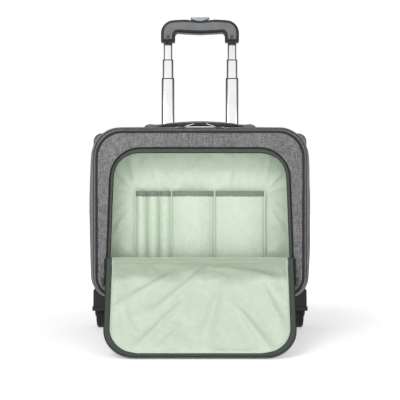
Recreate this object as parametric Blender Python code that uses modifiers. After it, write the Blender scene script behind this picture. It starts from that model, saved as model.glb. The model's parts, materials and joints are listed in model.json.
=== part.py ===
"""Rolling laptop case: a padded fabric case on two wheels with a three-stage trolley handle.

The case stands upright on its wheels and two front feet, with its front towards -Y. The front pocket's
flap is folded down until its free edge meets the floor. Every length is in metres and +Z is up.
"""

import math

import bmesh
import bpy
from mathutils import Matrix, Vector

# Driving dimensions -----------------------------------------------------------------------------

GAP = 0.0003                 # clearance between pieces that touch
FRONT_Y = -0.0561            # face of the front panel

# Outline of the case at distances behind the front face: distance, half width at mid height, top, bottom,
# radius of the upper and of the lower corners, and how much narrower the case is at its top and bottom
CASE_SECTIONS = (
    (0.0, 0.1800, 0.3710, 0.0840, 0.045, 0.034, 0.0),
    (0.0205, 0.1870, 0.3772, 0.0812, 0.047, 0.036, 0.0),
    (0.0600, 0.2000, 0.3840, 0.0740, 0.052, 0.040, 0.0040),
    (0.1200, 0.2067, 0.3850, 0.0700, 0.052, 0.040, 0.0075),
    (0.1800, 0.2105, 0.3850, 0.0680, 0.040, 0.034, 0.0050),
    (0.2220, 0.2128, 0.3850, 0.0660, 0.016, 0.016, 0.0),
)
BULGE_Z = 0.222              # height at which the case is widest
FABRIC = 0.004               # padded wall of the shell
SEAM = 0.0205                # the main zip's teeth, behind the front face
TAPE_WIDTH = 0.0037          # half of the main zip, measured along Y
PANEL = 0.005                # front panel's thickness
GUSSET = 0.003
BACK_PANEL = (0.2225, 0.2295)
BACK_HALF_WIDTH = 0.213
BACK_BOTTOM, BACK_TOP, BACK_RADIUS = 0.066, 0.385, 0.014

# Front pocket
FOLD_Z = 0.150
MOUTH_TOP = 0.3435
MOUTH_HALF_BOTTOM, MOUTH_HALF_TOP = 0.1627, 0.1555
MOUTH_RADIUS = 0.052
FLAP_OPEN = math.radians(140.5)
FLAP_GAP = 0.0013
FLAP_CLOTH, LINING = 0.0030, 0.0013
ZIP_BORDER = 0.011
POUCH_FRONT, POUCH_BACK = 0.0072, 0.0465
POUCH_HALF, POUCH_BOTTOM, POUCH_TOP = 0.166, 0.095, 0.352
POUCH_WALL = 0.0015
POCKET_BOTTOM, HEM_BOTTOM, HEM_TOP = 0.0975, 0.2590, 0.2670
PEN_EDGES = (-0.1145, -0.0935, -0.0725, -0.0515)
MOUSE_EDGES = (-0.0505, 0.0255)
PHONE_EDGES = (0.0265, 0.1150)
PEN_DEPTH, MOUSE_DEPTH, PHONE_DEPTH = 0.013, 0.021, 0.015
POCKET_CLOTH = 0.0012

# Trolley handle: half sizes of each tube along X and Y, wall, bottom and top
TUBE_X = 0.0635
TROLLEY = 0.205              # the tubes and the axles, behind the front face
FIXED_TUBE = (0.0145, 0.0105, 0.0015, 0.0780, 0.3890)
STAGES = (
    (0.0125, 0.0085, 0.0012, 0.1930, 0.4911),
    (0.0105, 0.0065, 0.0012, 0.2400, 0.5281),
    (0.0085, 0.0045, 0.0012, 0.2800, 0.5880),
)
BUSH_HEIGHT = 0.0016         # lip of the slide bush on top of stages 1 and 2
BUSH_PLAY = 0.0004
GRIP_HALF, GRIP_BOTTOM, GRIP_TOP = 0.077, 0.564, 0.609
GRIP_LEG_INNER, GRIP_BAR_BOTTOM = 0.0495, 0.581
GRIP_HALF_DEPTH = 0.0125
GRIP_RADIUS = 0.022
GRIP_EDGE = 0.0022           # rounding of the grip's edges
BUTTON_HALF, BUTTON_BOTTOM, BUTTON_TOP = 0.0186, 0.6012, 0.613
BUTTON_HALF_DEPTH, BUTTON_PLAY = 0.0096, 0.0004
LINK_Z, LINK_RADIUS, LINK_FOOT = 0.5986, 0.0013, 0.300
SCREW_X, SCREW_Z = 0.0627, 0.574
SPRING_BOTTOM, SPRING_TOP, SPRING_RADIUS, SPRING_TURNS = 0.5846, 0.5964, 0.0032, 5

# Wheels and feet
WHEEL_RADIUS, WHEEL_HALF, WHEEL_X = 0.031, 0.011, 0.1915
TYRE_INNER, AXLE_RADIUS = 0.0235, 0.003
GUARD_BOTTOM, GUARD_TOP = 0.0374, 0.0451
HOUSING_TOP = 0.0775
HOUSING_X, HOUSING_BACK = (0.152, 0.207), (0.168, 0.2222)
LUG_X = ((0.1735, 0.1785), (0.2043, 0.2068))     # ears on both sides of the wheel
LUG_HALF, LUG_TOP = 0.009, 0.048
AXLE_INNER, AXLE_OUTER, AXLE_HEAD = -0.0195, 0.0156, (0.0052, 0.0010)
FOOT_X, FOOT_BACK = 0.120, 0.085
# Foot's half sizes along X and Y at each height
FOOT_RINGS = ((0.012, 0.009, 0.0), (0.014, 0.011, 0.004), (0.016, 0.013, 0.050), (0.024, 0.019, 0.066))

# Carry handle and sliders
HANDLE_BACK, HANDLE_AXIS_Z = 0.090, 0.3893
# Half of the carry handle: distance from its centre, half depth, half height, lift above the axis
HANDLE_STATIONS = (
    (0.0845, 0.0029, 0.0024, 0.0), (0.0785, 0.0031, 0.0025, 0.0), (0.0690, 0.0062, 0.0028, 0.0012),
    (0.0580, 0.0095, 0.0035, 0.0034), (0.0460, 0.0118, 0.0040, 0.0046), (0.0220, 0.0125, 0.0041, 0.0049),
)
ANCHOR_X, ANCHOR_HALF_DEPTH, ANCHOR_Z = (0.0800, 0.0960), 0.009, (0.3852, 0.3932)
ANCHOR_SOCKET = 0.0036       # radius of the hole for the handle's round end
SLIDER_X, SLIDER_Z = 0.033, 0.3787
SLIDER_HALF, SLIDER_HEIGHT = 0.0050, 0.0035
PULL_LENGTH, PULL_OFFSET, PULL_HALF, PULL_HALF_THICK = 0.023, 0.0015, 0.003, 0.0006
PULL_LIFT = math.radians(22)
POCKET_SLIDER_X, POCKET_SLIDER_Z = 0.1675, 0.106
POCKET_SLIDER_HALF, POCKET_SLIDER_HEIGHT, POCKET_SLIDER_DEPTH = 0.0035, 0.010, 0.0040
POCKET_PULL_HINGE = (0.0049, 0.0085)      # in front of the panel, and above the slider's foot
POCKET_PULL_Z, POCKET_PULL_HALF = (0.0115, 0.0004), 0.0022

# Scene set-up -----------------------------------------------------------------------------------


def clear_scene():
    for item in list(bpy.data.objects):
        bpy.data.objects.remove(item, do_unlink=True)


def collection(name):
    made = bpy.data.collections.new(name)
    bpy.context.scene.collection.children.link(made)
    return made


clear_scene()
PARTS = collection("rolling_laptop_case")
CUTTERS = collection("cutters")

FINISHES = {
    "grey_fabric": ((0.23, 0.23, 0.235), 0.95, 0.0),
    "mint_lining": ((0.55, 0.63, 0.53), 0.85, 0.0),
    "zip_tape": ((0.07, 0.08, 0.055), 0.9, 0.0),
    "dark_trim": ((0.012, 0.012, 0.013), 0.7, 0.0),
    "hem_elastic": ((0.2, 0.24, 0.2), 0.85, 0.0),
    "black_plastic": ((0.02, 0.02, 0.021), 0.5, 0.0),
    "tyre_rubber": ((0.012, 0.012, 0.012), 0.8, 0.0),
    "tube_aluminium": ((0.75, 0.76, 0.77), 0.2, 1.0),
    "grip_plastic": ((0.2, 0.2, 0.2), 0.45, 0.0),
    "silver_button": ((0.6, 0.61, 0.63), 0.3, 1.0),
    "zip_metal": ((0.7, 0.7, 0.7), 0.25, 1.0),
    "steel": ((0.45, 0.45, 0.46), 0.35, 1.0),
    "board": ((0.05, 0.05, 0.05), 0.8, 0.0),
}


def material(name):
    found = bpy.data.materials.get(name)
    if found:
        return found
    colour, roughness, metallic = FINISHES[name]
    made = bpy.data.materials.new(name)
    made.use_nodes = True
    shader = made.node_tree.nodes["Principled BSDF"]
    shader.inputs["Base Color"].default_value = (*colour, 1.0)
    shader.inputs["Roughness"].default_value = roughness
    shader.inputs["Metallic"].default_value = metallic
    return made


# Shape helpers ----------------------------------------------------------------------------------


def back(distance):
    """World Y of a plane this far behind the front face."""
    return FRONT_Y + distance


def add_object(name, mesh, finish=None):
    """Put a mesh in the scene as a part, or as a cutter when it has no finish."""
    item = bpy.data.objects.new(name, mesh)
    if finish is None:
        CUTTERS.objects.link(item)
        item.hide_render = True
        item.display_type = "WIRE"
        return item
    PARTS.objects.link(item)
    mesh.materials.append(material(finish))
    return item


def smooth(item, degrees=35):
    item.data.shade_smooth()
    item.data.set_sharp_from_angle(angle=math.radians(degrees))
    return item


def set_pivot(item, pivot):
    """Move a part's origin to its joint's axis and leave the part where it is."""
    item.data.transform(Matrix.Translation(-Vector(pivot)))
    item.location = pivot
    return item


def rounded(corners, radii, steps=5):
    """Outline through the corners, each rounded by its radius; a radius of 0 keeps the corner."""
    points = []
    for number, (corner, radius) in enumerate(zip(corners, radii)):
        here = Vector(corner)
        if radius == 0:
            points.append(here)
            continue
        before = (Vector(corners[number - 1]) - here).normalized()
        after = (Vector(corners[(number + 1) % len(corners)]) - here).normalized()
        half_angle = before.angle(after) / 2
        centre = here + (before + after).normalized() * radius / math.sin(half_angle)
        start = here + before * radius / math.tan(half_angle) - centre
        end = here + after * radius / math.tan(half_angle) - centre
        turn = start.angle_signed(end)
        for step in range(steps + 1):
            angle = turn * step / steps
            spun = Matrix.Rotation(-angle, 2) @ start
            points.append(centre + spun)
    return points


def box_outline(half, bottom, top, radius, steps=5):
    corners = ((-half, bottom), (half, bottom), (half, top), (-half, top))
    return rounded(corners, (radius,) * 4, steps)


def case_section(distance):
    """Half width, top, bottom, upper and lower radius and narrowing at this distance behind the front."""
    for before, after in zip(CASE_SECTIONS, CASE_SECTIONS[1:]):
        if distance <= after[0]:
            share = (distance - before[0]) / (after[0] - before[0])
            return [a + (b - a) * share for a, b in zip(before[1:], after[1:])]
    return list(CASE_SECTIONS[-1][1:])


def case_ring(distance, inset=0.0):
    half, top, bottom, upper, lower, narrowing = case_section(distance)
    wide, end = half - inset, half - narrowing - inset
    low, high = bottom + inset, top - inset
    corners = ((-end, low), (end, low), (wide, BULGE_Z), (end, high), (-end, high), (-wide, BULGE_Z))
    upper, lower = upper - inset, lower - inset
    outline = rounded(corners, (lower, lower, 0, upper, upper, 0))
    return [Vector((x, back(distance), z)) for x, z in outline]


def loft(name, rings, finish=None, closed=False):
    """Skin a row of rings with the same number of points; closed joins the last ring to the first."""
    built = bmesh.new()
    rows = [[built.verts.new(point) for point in ring] for ring in rings]
    pairs = list(zip(rows, rows[1:]))
    if closed:
        pairs.append((rows[-1], rows[0]))
    for first, second in pairs:
        for number in range(len(first)):
            following = (number + 1) % len(first)
            built.faces.new((first[number], first[following], second[following], second[number]))
    if not closed:
        built.faces.new(rows[0])
        built.faces.new(rows[-1])
    bmesh.ops.recalc_face_normals(built, faces=built.faces)
    mesh = bpy.data.meshes.new(name)
    built.to_mesh(mesh)
    built.free()
    return add_object(name, mesh, finish)


def case_band(name, distances, thickness, finish):
    """A ring of the case's outline, open at the front and at the back."""
    outer = [case_ring(distance) for distance in distances]
    inner = [case_ring(distance, thickness) for distance in reversed(distances)]
    return loft(name, outer + inner, finish, closed=True)


def plate(name, outlines, front, rear, finish=None):
    """A flat plate that faces -Y, from one outline and any holes, between two world Y planes."""
    curve = bpy.data.curves.new(name, "CURVE")
    curve.dimensions = "2D"
    curve.fill_mode = "BOTH"
    curve.extrude = (rear - front) / 2
    for outline in outlines:
        spline = curve.splines.new("POLY")
        spline.points.add(len(outline) - 1)
        for point, (x, z) in zip(spline.points, outline):
            point.co = (x, z, 0.0, 1.0)
        spline.use_cyclic_u = True
    return from_curve(name, curve, Matrix.Translation((0, (front + rear) / 2, 0))
                      @ Matrix.Rotation(math.radians(90), 4, "X"), finish)


def from_curve(name, curve, placing, finish=None):
    """Turn a curve into a closed mesh part."""
    guide = bpy.data.objects.new(name + "_guide", curve)
    PARTS.objects.link(guide)
    bpy.context.view_layer.update()
    evaluated = guide.evaluated_get(bpy.context.evaluated_depsgraph_get())
    mesh = bpy.data.meshes.new_from_object(evaluated)
    bpy.data.objects.remove(guide)
    bpy.data.curves.remove(curve)
    mesh.materials.clear()
    built = bmesh.new()
    built.from_mesh(mesh)
    bmesh.ops.remove_doubles(built, verts=built.verts, dist=0.00001)
    bmesh.ops.recalc_face_normals(built, faces=built.faces)
    built.transform(placing)
    built.to_mesh(mesh)
    built.free()
    mesh.name = name
    return add_object(name, mesh, finish)


def box(name, low, high, finish=None, bevel=0.0):
    """A block between two corners, with its edges rounded by the bevel."""
    size = Vector(high) - Vector(low)
    built = bmesh.new()
    bmesh.ops.create_cube(built, size=1.0)
    built.transform(Matrix.Translation((Vector(low) + Vector(high)) / 2) @ Matrix.Diagonal((*size, 1.0)))
    mesh = bpy.data.meshes.new(name)
    built.to_mesh(mesh)
    built.free()
    item = add_object(name, mesh, finish)
    if bevel:
        rounding = item.modifiers.new("rounding", "BEVEL")
        rounding.width = bevel
        rounding.segments = 2
    return item


def side_box(name, side, low, high, finish=None, bevel=0.0):
    """A block given for the right side and placed on the side asked for: -1 left, 1 right."""
    ends = sorted((side * low[0], side * high[0]))
    return box(name, (ends[0], *low[1:]), (ends[1], *high[1:]), finish, bevel)


def cylinder(name, start, end, radius, finish=None, sides=24):
    """A round bar between two points."""
    start, end = Vector(start), Vector(end)
    built = bmesh.new()
    bmesh.ops.create_cone(built, cap_ends=True, segments=sides, radius1=radius, radius2=radius,
                          depth=(end - start).length)
    turn = (end - start).to_track_quat("Z", "Y").to_matrix().to_4x4()
    built.transform(Matrix.Translation((start + end) / 2) @ turn)
    mesh = bpy.data.meshes.new(name)
    built.to_mesh(mesh)
    built.free()
    return add_object(name, mesh, finish)


def turned(name, profile, centre, axis, finish, steps=32):
    """Turn a profile of (radius, height) about an axis; its outer side runs top to bottom.

    A profile that starts on the axis is a solid and also ends on it; any other is closed into a ring.
    """
    built = bmesh.new()
    points = [built.verts.new((radius, 0.0, height)) for radius, height in profile]
    solid = profile[0][0] == 0
    for first, second in zip(points, points[1:] if solid else points[1:] + points[:1]):
        built.edges.new((first, second))
    mesh = bpy.data.meshes.new(name)
    built.to_mesh(mesh)
    built.free()
    item = add_object(name, mesh, finish)
    item.location = centre
    item.rotation_euler = Vector(axis).to_track_quat("Z", "Y").to_euler()
    screw = item.modifiers.new("turn", "SCREW")
    screw.steps = steps
    screw.render_steps = steps
    screw.use_merge_vertices = True
    screw.merge_threshold = 0.00001
    screw.use_smooth_shade = True
    return item


def rect_tube(name, centre_x, half_x, half_y, wall, bottom, top, finish, radius=0.003):
    """An upright rectangular tube with rounded corners, open at both ends."""
    def ring(inset, height):
        outline = rounded(((-half_x + inset, -half_y + inset), (half_x - inset, -half_y + inset),
                           (half_x - inset, half_y - inset), (-half_x + inset, half_y - inset)),
                          (radius - inset,) * 4, 3)
        return [Vector((centre_x + x, back(TROLLEY) + y, height)) for x, y in outline]
    rings = [ring(0, bottom), ring(0, top), ring(wall, top), ring(wall, bottom)]
    return smooth(loft(name, rings, finish, closed=True))


def combine(item, other, operation):
    """Join a cutter to a part, or cut it away."""
    step = item.modifiers.new(other.name, "BOOLEAN")
    step.operation = operation
    step.object = other
    step.solver = "EXACT"
    return item


def cut(item, *others):
    for other in others:
        combine(item, other, "DIFFERENCE")
    return item


def join(item, *others):
    for other in others:
        combine(item, other, "UNION")
    return item


SIDES = {"left": -1, "right": 1}

# Fabric case ------------------------------------------------------------------------------------


def tube_holes(clearance, bottom, top):
    """Cutters for the two fixed tubes."""
    half_x, half_y = FIXED_TUBE[0] + clearance, FIXED_TUBE[1] + clearance
    return [box(f"tube_hole_{side}_{bottom}", (sign * TUBE_X - half_x, back(TROLLEY) - half_y, bottom),
                (sign * TUBE_X + half_x, back(TROLLEY) + half_y, top)) for side, sign in SIDES.items()]


def make_shell():
    first = SEAM + GAP / 2 + TAPE_WIDTH + GAP
    distances = (first, 0.040, 0.060, 0.090, 0.120, 0.150, 0.180, 0.222)
    shell = case_band("main_shell", distances, FABRIC, "grey_fabric")
    cut(shell, *tube_holes(GAP, 0.36, 0.40))
    for name, sign in SIDES.items():
        cut(shell, side_box(f"housing_room_{name}", sign, (0.1517, back(0.1677), 0.05),
                            (0.23, back(0.23), HOUSING_TOP + GAP)))
    smooth(shell)

    outline = box_outline(BACK_HALF_WIDTH, BACK_BOTTOM, BACK_TOP, BACK_RADIUS)
    smooth(plate("back_panel", [outline], back(BACK_PANEL[0]), back(BACK_PANEL[1]), "grey_fabric"))
    smooth(case_band("main_zip_rear", (SEAM + GAP / 2, SEAM + GAP / 2 + TAPE_WIDTH), 0.003, "dark_trim"))


def make_interior():
    box("base_plate", (-0.145, back(0.064), 0.0787), (0.145, back(0.157), 0.0812), "board")
    divider = box_outline(0.190, 0.0815, 0.330, 0.020)
    smooth(plate("laptop_divider", [divider], back(0.158), back(0.164), "mint_lining"))
    board = box_outline(0.198, 0.0785, 0.372, 0.030)
    smooth(plate("inner_back_board", [board], back(0.1885), back(0.1915), "mint_lining"))
    box("tube_base_bracket", (-0.085, back(0.193), 0.0718), (0.085, back(0.217), 0.0775), "board", 0.001)


def make_feet():
    """Two moulded feet that follow the sloping floor of the case."""
    for name, sign in SIDES.items():
        rings = []
        for half_x, half_y, height in FOOT_RINGS:
            outline = rounded(((-half_x, -half_y), (half_x, -half_y), (half_x, half_y), (-half_x, half_y)),
                              (0.005,) * 4, 3)
            rings.append([Vector((sign * FOOT_X + x, back(FOOT_BACK) + y, height)) for x, y in outline])
        top = [Vector((p.x, p.y, case_section(p.y - FRONT_Y)[2] - GAP)) for p in rings[-1]]
        smooth(loft(f"front_foot_{name}", rings + [top], "black_plastic"))


# Wheels -----------------------------------------------------------------------------------------


def make_wheel(name, sign):
    axle_y = back(TROLLEY)
    housing = side_box(f"wheel_housing_{name}", sign, (HOUSING_X[0], back(HOUSING_BACK[0]), 0.042),
                       (HOUSING_X[1], back(HOUSING_BACK[1]), HOUSING_TOP), "black_plastic")
    guard = side_box(f"guard_{name}", sign, (0.150, back(0.166), GUARD_BOTTOM),
                     (0.2086, back(0.238), GUARD_TOP))
    tail = side_box(f"tail_{name}", sign, (0.1521, back(0.200), 0.043), (0.2069, back(0.236), 0.0655))
    join(housing, guard, tail)
    for low, high in LUG_X:
        lug = side_box(f"lug_{low}_{name}", sign, (low, axle_y - LUG_HALF, WHEEL_RADIUS),
                       (high, axle_y + LUG_HALF, LUG_TOP))
        ear = cylinder(f"ear_{low}_{name}", (sign * low, axle_y, WHEEL_RADIUS),
                       (sign * high, axle_y, WHEEL_RADIUS), LUG_HALF)
        join(housing, lug, ear)
    room = side_box(f"wheel_room_{name}", sign, (LUG_X[0][1], back(0.1722), 0.0),
                    (LUG_X[1][0], back(0.250), 0.0640))
    bore = cylinder(f"axle_bore_{name}", (sign * 0.16, axle_y, WHEEL_RADIUS),
                    (sign * 0.22, axle_y, WHEEL_RADIUS), AXLE_RADIUS + GAP)
    cut(housing, room, bore)

    head, thickness = AXLE_HEAD
    pin = ((0.0, AXLE_OUTER + thickness), (head, AXLE_OUTER + thickness), (head, AXLE_OUTER),
           (AXLE_RADIUS, AXLE_OUTER), (AXLE_RADIUS, AXLE_INNER), (0.0, AXLE_INNER))
    turned(f"wheel_axle_{name}", pin, (sign * WHEEL_X, axle_y, WHEEL_RADIUS), (sign, 0, 0), "steel", 24)

    tread, shoulder = WHEEL_RADIUS, 0.003
    tyre = ((TYRE_INNER, WHEEL_HALF), (tread - shoulder, WHEEL_HALF), (tread - 0.0009, WHEEL_HALF - 0.0009),
            (tread, WHEEL_HALF - shoulder), (tread, shoulder - WHEEL_HALF),
            (tread - 0.0009, 0.0009 - WHEEL_HALF), (tread - shoulder, -WHEEL_HALF),
            (TYRE_INNER, -WHEEL_HALF))
    centre = (sign * WHEEL_X, axle_y, WHEEL_RADIUS)
    turned(f"wheel_tyre_{name}", tyre, centre, (1, 0, 0), "tyre_rubber", 40)

    rim, bore_radius = TYRE_INNER - GAP, AXLE_RADIUS + GAP
    hub = ((bore_radius, 0.010), (0.008, 0.010), (0.0095, 0.005), (0.019, 0.005), (0.0205, 0.0098),
           (rim, 0.0098), (rim, -0.0098), (0.0205, -0.0098), (0.019, -0.005), (0.0095, -0.005),
           (0.008, -0.010), (bore_radius, -0.010))
    turned(f"wheel_hub_{name}", hub, centre, (1, 0, 0), "black_plastic")


# Front lid and its pocket -----------------------------------------------------------------------


def mouth_path(inset, foot=FOLD_Z):
    """The pocket opening's edge from its lower left corner, over the top, to its lower right."""
    bottom, top = MOUTH_HALF_BOTTOM - inset, MOUTH_HALF_TOP - inset
    corners = ((-bottom, foot), (bottom, foot), (top, MOUTH_TOP - inset), (-top, MOUTH_TOP - inset))
    path = rounded(corners, (0, 0, MOUTH_RADIUS - inset, MOUTH_RADIUS - inset), 7)
    return path[1:] + path[:1]


def mouth_band(outset, inset, foot):
    """A strip that follows the pocket opening and is open along the fold."""
    return mouth_path(outset, foot) + mouth_path(inset, foot)[::-1]


def make_lid():
    half, top, bottom, upper, lower, _ = CASE_SECTIONS[0][1:]
    corners = ((-half, bottom), (half, bottom), (half, top), (-half, top))
    outline = rounded(corners, (lower, lower, upper, upper), 7)
    smooth(plate("front_panel", [outline, mouth_path(0)], back(0), back(PANEL), "grey_fabric"))
    seam_edge = SEAM - GAP / 2 - TAPE_WIDTH
    smooth(case_band("front_gusset", (PANEL + GAP, 0.010, seam_edge - GAP), GUSSET, "grey_fabric"))
    smooth(case_band("main_zip_front", (seam_edge, SEAM - GAP / 2), GUSSET, "dark_trim"))
    band = mouth_band(-0.006, ZIP_BORDER, FOLD_Z + 0.001)
    smooth(plate("pocket_zip_tape", [band], back(PANEL + GAP), back(PANEL + GAP + LINING), "zip_tape"))


def pouch_ring(inset, distance):
    radii = (0.020 - inset, 0.020 - inset, 0.056 - inset, 0.056 - inset)
    half, low, high = POUCH_HALF - inset, POUCH_BOTTOM + inset, POUCH_TOP - inset
    corners = ((-half, low), (half, low), (half, high), (-half, high))
    return [Vector((x, back(distance), z)) for x, z in rounded(corners, radii, 6)]


def make_pouch():
    rings = [pouch_ring(POUCH_WALL, POUCH_BACK - POUCH_WALL), pouch_ring(POUCH_WALL, POUCH_FRONT),
             pouch_ring(0, POUCH_FRONT), pouch_ring(0, POUCH_BACK)]
    smooth(loft("pocket_pouch", rings, "mint_lining"))


def bulge(left, right, depth, steps=8):
    """Plan of a pocket front: from the pouch's back wall, forward, and back to the wall."""
    wall = POUCH_BACK - POUCH_WALL - GAP
    points = []
    for step in range(steps + 1):
        share = step / steps
        lift = math.sin(math.pi * share) ** 0.55
        points.append(Vector((left + (right - left) * share, wall - depth * lift)))
    return points


def make_pocket(name, plans, finish="mint_lining", bottom=POCKET_BOTTOM, top=HEM_BOTTOM - GAP, floor=True):
    """A cloth pocket: an upright sheet along the plan, closed below by a floor, then thickened."""
    built = bmesh.new()
    lower, upper = [], []
    for plan in plans:
        for point in plan[1 if lower else 0:]:
            lower.append(built.verts.new((point.x, back(point.y), bottom)))
            upper.append(built.verts.new((point.x, back(point.y), top)))
    for number in range(len(lower) - 1):
        built.faces.new((lower[number], lower[number + 1], upper[number + 1], upper[number]))
    start = 0
    for plan in plans:
        if floor:
            built.faces.new(lower[start:start + len(plan)])
        start += len(plan) - 1
    bmesh.ops.recalc_face_normals(built, faces=built.faces)
    mesh = bpy.data.meshes.new(name)
    built.to_mesh(mesh)
    built.free()
    item = add_object(name, mesh, finish)
    cloth = item.modifiers.new("cloth", "SOLIDIFY")
    cloth.thickness = POCKET_CLOTH
    cloth.offset = 0.0
    return smooth(item, 50)


def make_organiser():
    pens = [bulge(left, right, PEN_DEPTH, 6) for left, right in zip(PEN_EDGES, PEN_EDGES[1:])]
    mouse = bulge(*MOUSE_EDGES, MOUSE_DEPTH, 10)
    phone = bulge(*PHONE_EDGES, PHONE_DEPTH, 10)
    for name, plans in (("pen_sleeve", pens), ("mouse_pocket", [mouse]), ("phone_pocket", [phone])):
        inner = [shrink(plan) for plan in plans]
        make_pocket(name, inner)
    hem = [shrink(plan) for plan in pens]
    hem += [shrink(mouse), shrink(phone)]
    make_hem(hem)


def shrink(plan):
    """Keep half the cloth's thickness clear of the pouch's back wall."""
    wall = POUCH_BACK - POUCH_WALL - GAP
    limit = wall - POCKET_CLOTH / 2
    return [Vector((point.x, min(point.y, limit))) for point in plan]


def make_hem(plans):
    """One elastic band along the top of all the pockets."""
    points = [point for plan in plans for point in plan]
    kept = [points[0]]
    for point in points[1:]:
        if (point - kept[-1]).length > 0.0015:
            kept.append(point)
    make_pocket("organiser_hem", [kept], "hem_elastic", HEM_BOTTOM, HEM_TOP, floor=False)


def make_pocket_sliders():
    for name, sign in SIDES.items():
        half = POCKET_SLIDER_HALF
        slider = side_box(f"pocket_zip_slider_{name}", sign,
                          (POCKET_SLIDER_X - half, back(-POCKET_SLIDER_DEPTH), POCKET_SLIDER_Z),
                          (POCKET_SLIDER_X + half, back(-GAP), POCKET_SLIDER_Z + POCKET_SLIDER_HEIGHT),
                          "black_plastic", 0.0007)
        set_pivot(slider, (sign * POCKET_SLIDER_X, back(-GAP), POCKET_SLIDER_Z))
        forward, height = POCKET_PULL_HINGE
        pivot = (sign * POCKET_SLIDER_X, back(-forward), POCKET_SLIDER_Z + height)
        down, up = POCKET_PULL_Z
        pull = side_box(f"pocket_zip_pull_{name}", sign,
                        (POCKET_SLIDER_X - POCKET_PULL_HALF, back(-forward - PULL_HALF_THICK), pivot[2] - down),
                        (POCKET_SLIDER_X + POCKET_PULL_HALF, back(-forward + PULL_HALF_THICK), pivot[2] + up),
                        "black_plastic", 0.0004)
        set_pivot(pull, pivot)


# Flap -------------------------------------------------------------------------------------------


def make_flap():
    """The flap is drawn closed, in the plane of the front panel, and turned open about its fold."""
    first = FOLD_Z + FLAP_GAP
    lining_front = FLAP_CLOTH + GAP
    lining_rear = lining_front + LINING
    edge = FLAP_GAP + ZIP_BORDER
    pieces = (
        plate("flap_panel", [mouth_path(FLAP_GAP, first)], back(0), back(FLAP_CLOTH), "grey_fabric"),
        plate("flap_lining", [mouth_path(edge + GAP, first + 0.002)], back(lining_front), back(lining_rear),
              "mint_lining"),
        plate("flap_zip_tape", [mouth_band(FLAP_GAP, edge, first + 0.002)], back(lining_front),
              back(lining_rear), "zip_tape"),
    )
    for piece in pieces:
        set_pivot(smooth(piece), (0.0, back(0), FOLD_Z))
        piece.rotation_euler.x = FLAP_OPEN


# Carry handle and main zip sliders --------------------------------------------------------------


def make_carry_handle():
    """A padded handle whose section grows from round ends to a flat grip."""
    left = [(-x, *rest) for x, *rest in HANDLE_STATIONS]
    full = left + [(0.0, *HANDLE_STATIONS[-1][1:])] + list(reversed(HANDLE_STATIONS))
    rings = []
    for x, half_y, half_z, lift in full:
        ring = []
        for number in range(12):
            angle = 2 * math.pi * number / 12
            ring.append(Vector((x, back(HANDLE_BACK) + half_y * math.cos(angle),
                                HANDLE_AXIS_Z + lift + half_z * math.sin(angle))))
        rings.append(ring)
    handle = smooth(loft("carry_handle", rings, "grey_fabric"), 60)
    set_pivot(handle, (0.0, back(HANDLE_BACK), HANDLE_AXIS_Z))
    for name, sign in SIDES.items():
        anchor = side_box(f"handle_anchor_{name}", sign,
                          (ANCHOR_X[0], back(HANDLE_BACK - ANCHOR_HALF_DEPTH), ANCHOR_Z[0]),
                          (ANCHOR_X[1], back(HANDLE_BACK + ANCHOR_HALF_DEPTH), ANCHOR_Z[1]),
                          "black_plastic", 0.0015)
        height = HANDLE_AXIS_Z - 0.0002
        socket = cylinder(f"handle_socket_{name}", (sign * (ANCHOR_X[0] - 0.002), back(HANDLE_BACK), height),
                          (sign * (HANDLE_STATIONS[0][0] + 0.0005), back(HANDLE_BACK), height),
                          ANCHOR_SOCKET, sides=16)
        cut(anchor, socket)


def make_main_sliders():
    for name, sign in SIDES.items():
        slider = side_box(f"main_zip_slider_{name}", sign,
                          (SLIDER_X - SLIDER_HALF, back(SEAM - SLIDER_HALF), SLIDER_Z),
                          (SLIDER_X + SLIDER_HALF, back(SEAM + SLIDER_HALF), SLIDER_Z + SLIDER_HEIGHT),
                          "black_plastic", 0.0007)
        set_pivot(slider, (sign * SLIDER_X, back(SEAM), SLIDER_Z))
        hinge_x, hinge_z = SLIDER_X - SLIDER_HALF, SLIDER_Z + SLIDER_HEIGHT
        near, far = hinge_x - PULL_OFFSET, hinge_x - PULL_OFFSET - PULL_LENGTH
        pull = side_box(f"main_zip_pull_{name}", sign, (far, back(SEAM - PULL_HALF), hinge_z - PULL_HALF_THICK),
                        (near, back(SEAM + PULL_HALF), hinge_z + PULL_HALF_THICK), "zip_metal", 0.0004)
        set_pivot(pull, (sign * hinge_x, back(SEAM), hinge_z))
        pull.rotation_euler.y = sign * PULL_LIFT


# Trolley handle ---------------------------------------------------------------------------------


def make_tubes():
    for name, sign in SIDES.items():
        rect_tube(f"outer_tube_{name}", sign * TUBE_X, *FIXED_TUBE, "tube_aluminium")
        for number, sizes in enumerate(STAGES, start=1):
            rect_tube(f"stage{number}_tube_{name}", sign * TUBE_X, *sizes, "tube_aluminium")
            if number < len(STAGES):
                half_x, half_y, _, _, top = sizes
                inner_x, _ = STAGES[number][:2]
                wall = half_x - inner_x - BUSH_PLAY
                rect_tube(f"stage{number}_bush_{name}", sign * TUBE_X, half_x, half_y, wall, top + GAP,
                          top + GAP + BUSH_HEIGHT, "black_plastic")
    bezel = box("trolley_bezel", (-0.098, back(TROLLEY - 0.0155), 0.3853),
                (0.098, back(TROLLEY + 0.0155), 0.3893), "black_plastic", 0.0012)
    cut(bezel, *tube_holes(GAP, 0.370, 0.405))


def grip_outline():
    corners = ((-GRIP_HALF, GRIP_BOTTOM), (-GRIP_LEG_INNER, GRIP_BOTTOM), (-GRIP_LEG_INNER, GRIP_BAR_BOTTOM),
               (GRIP_LEG_INNER, GRIP_BAR_BOTTOM), (GRIP_LEG_INNER, GRIP_BOTTOM), (GRIP_HALF, GRIP_BOTTOM),
               (GRIP_HALF, GRIP_TOP), (-GRIP_HALF, GRIP_TOP))
    return rounded(corners, (0.003, 0.003, 0.007, 0.007, 0.003, 0.003, GRIP_RADIUS, GRIP_RADIUS), 5)


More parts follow.
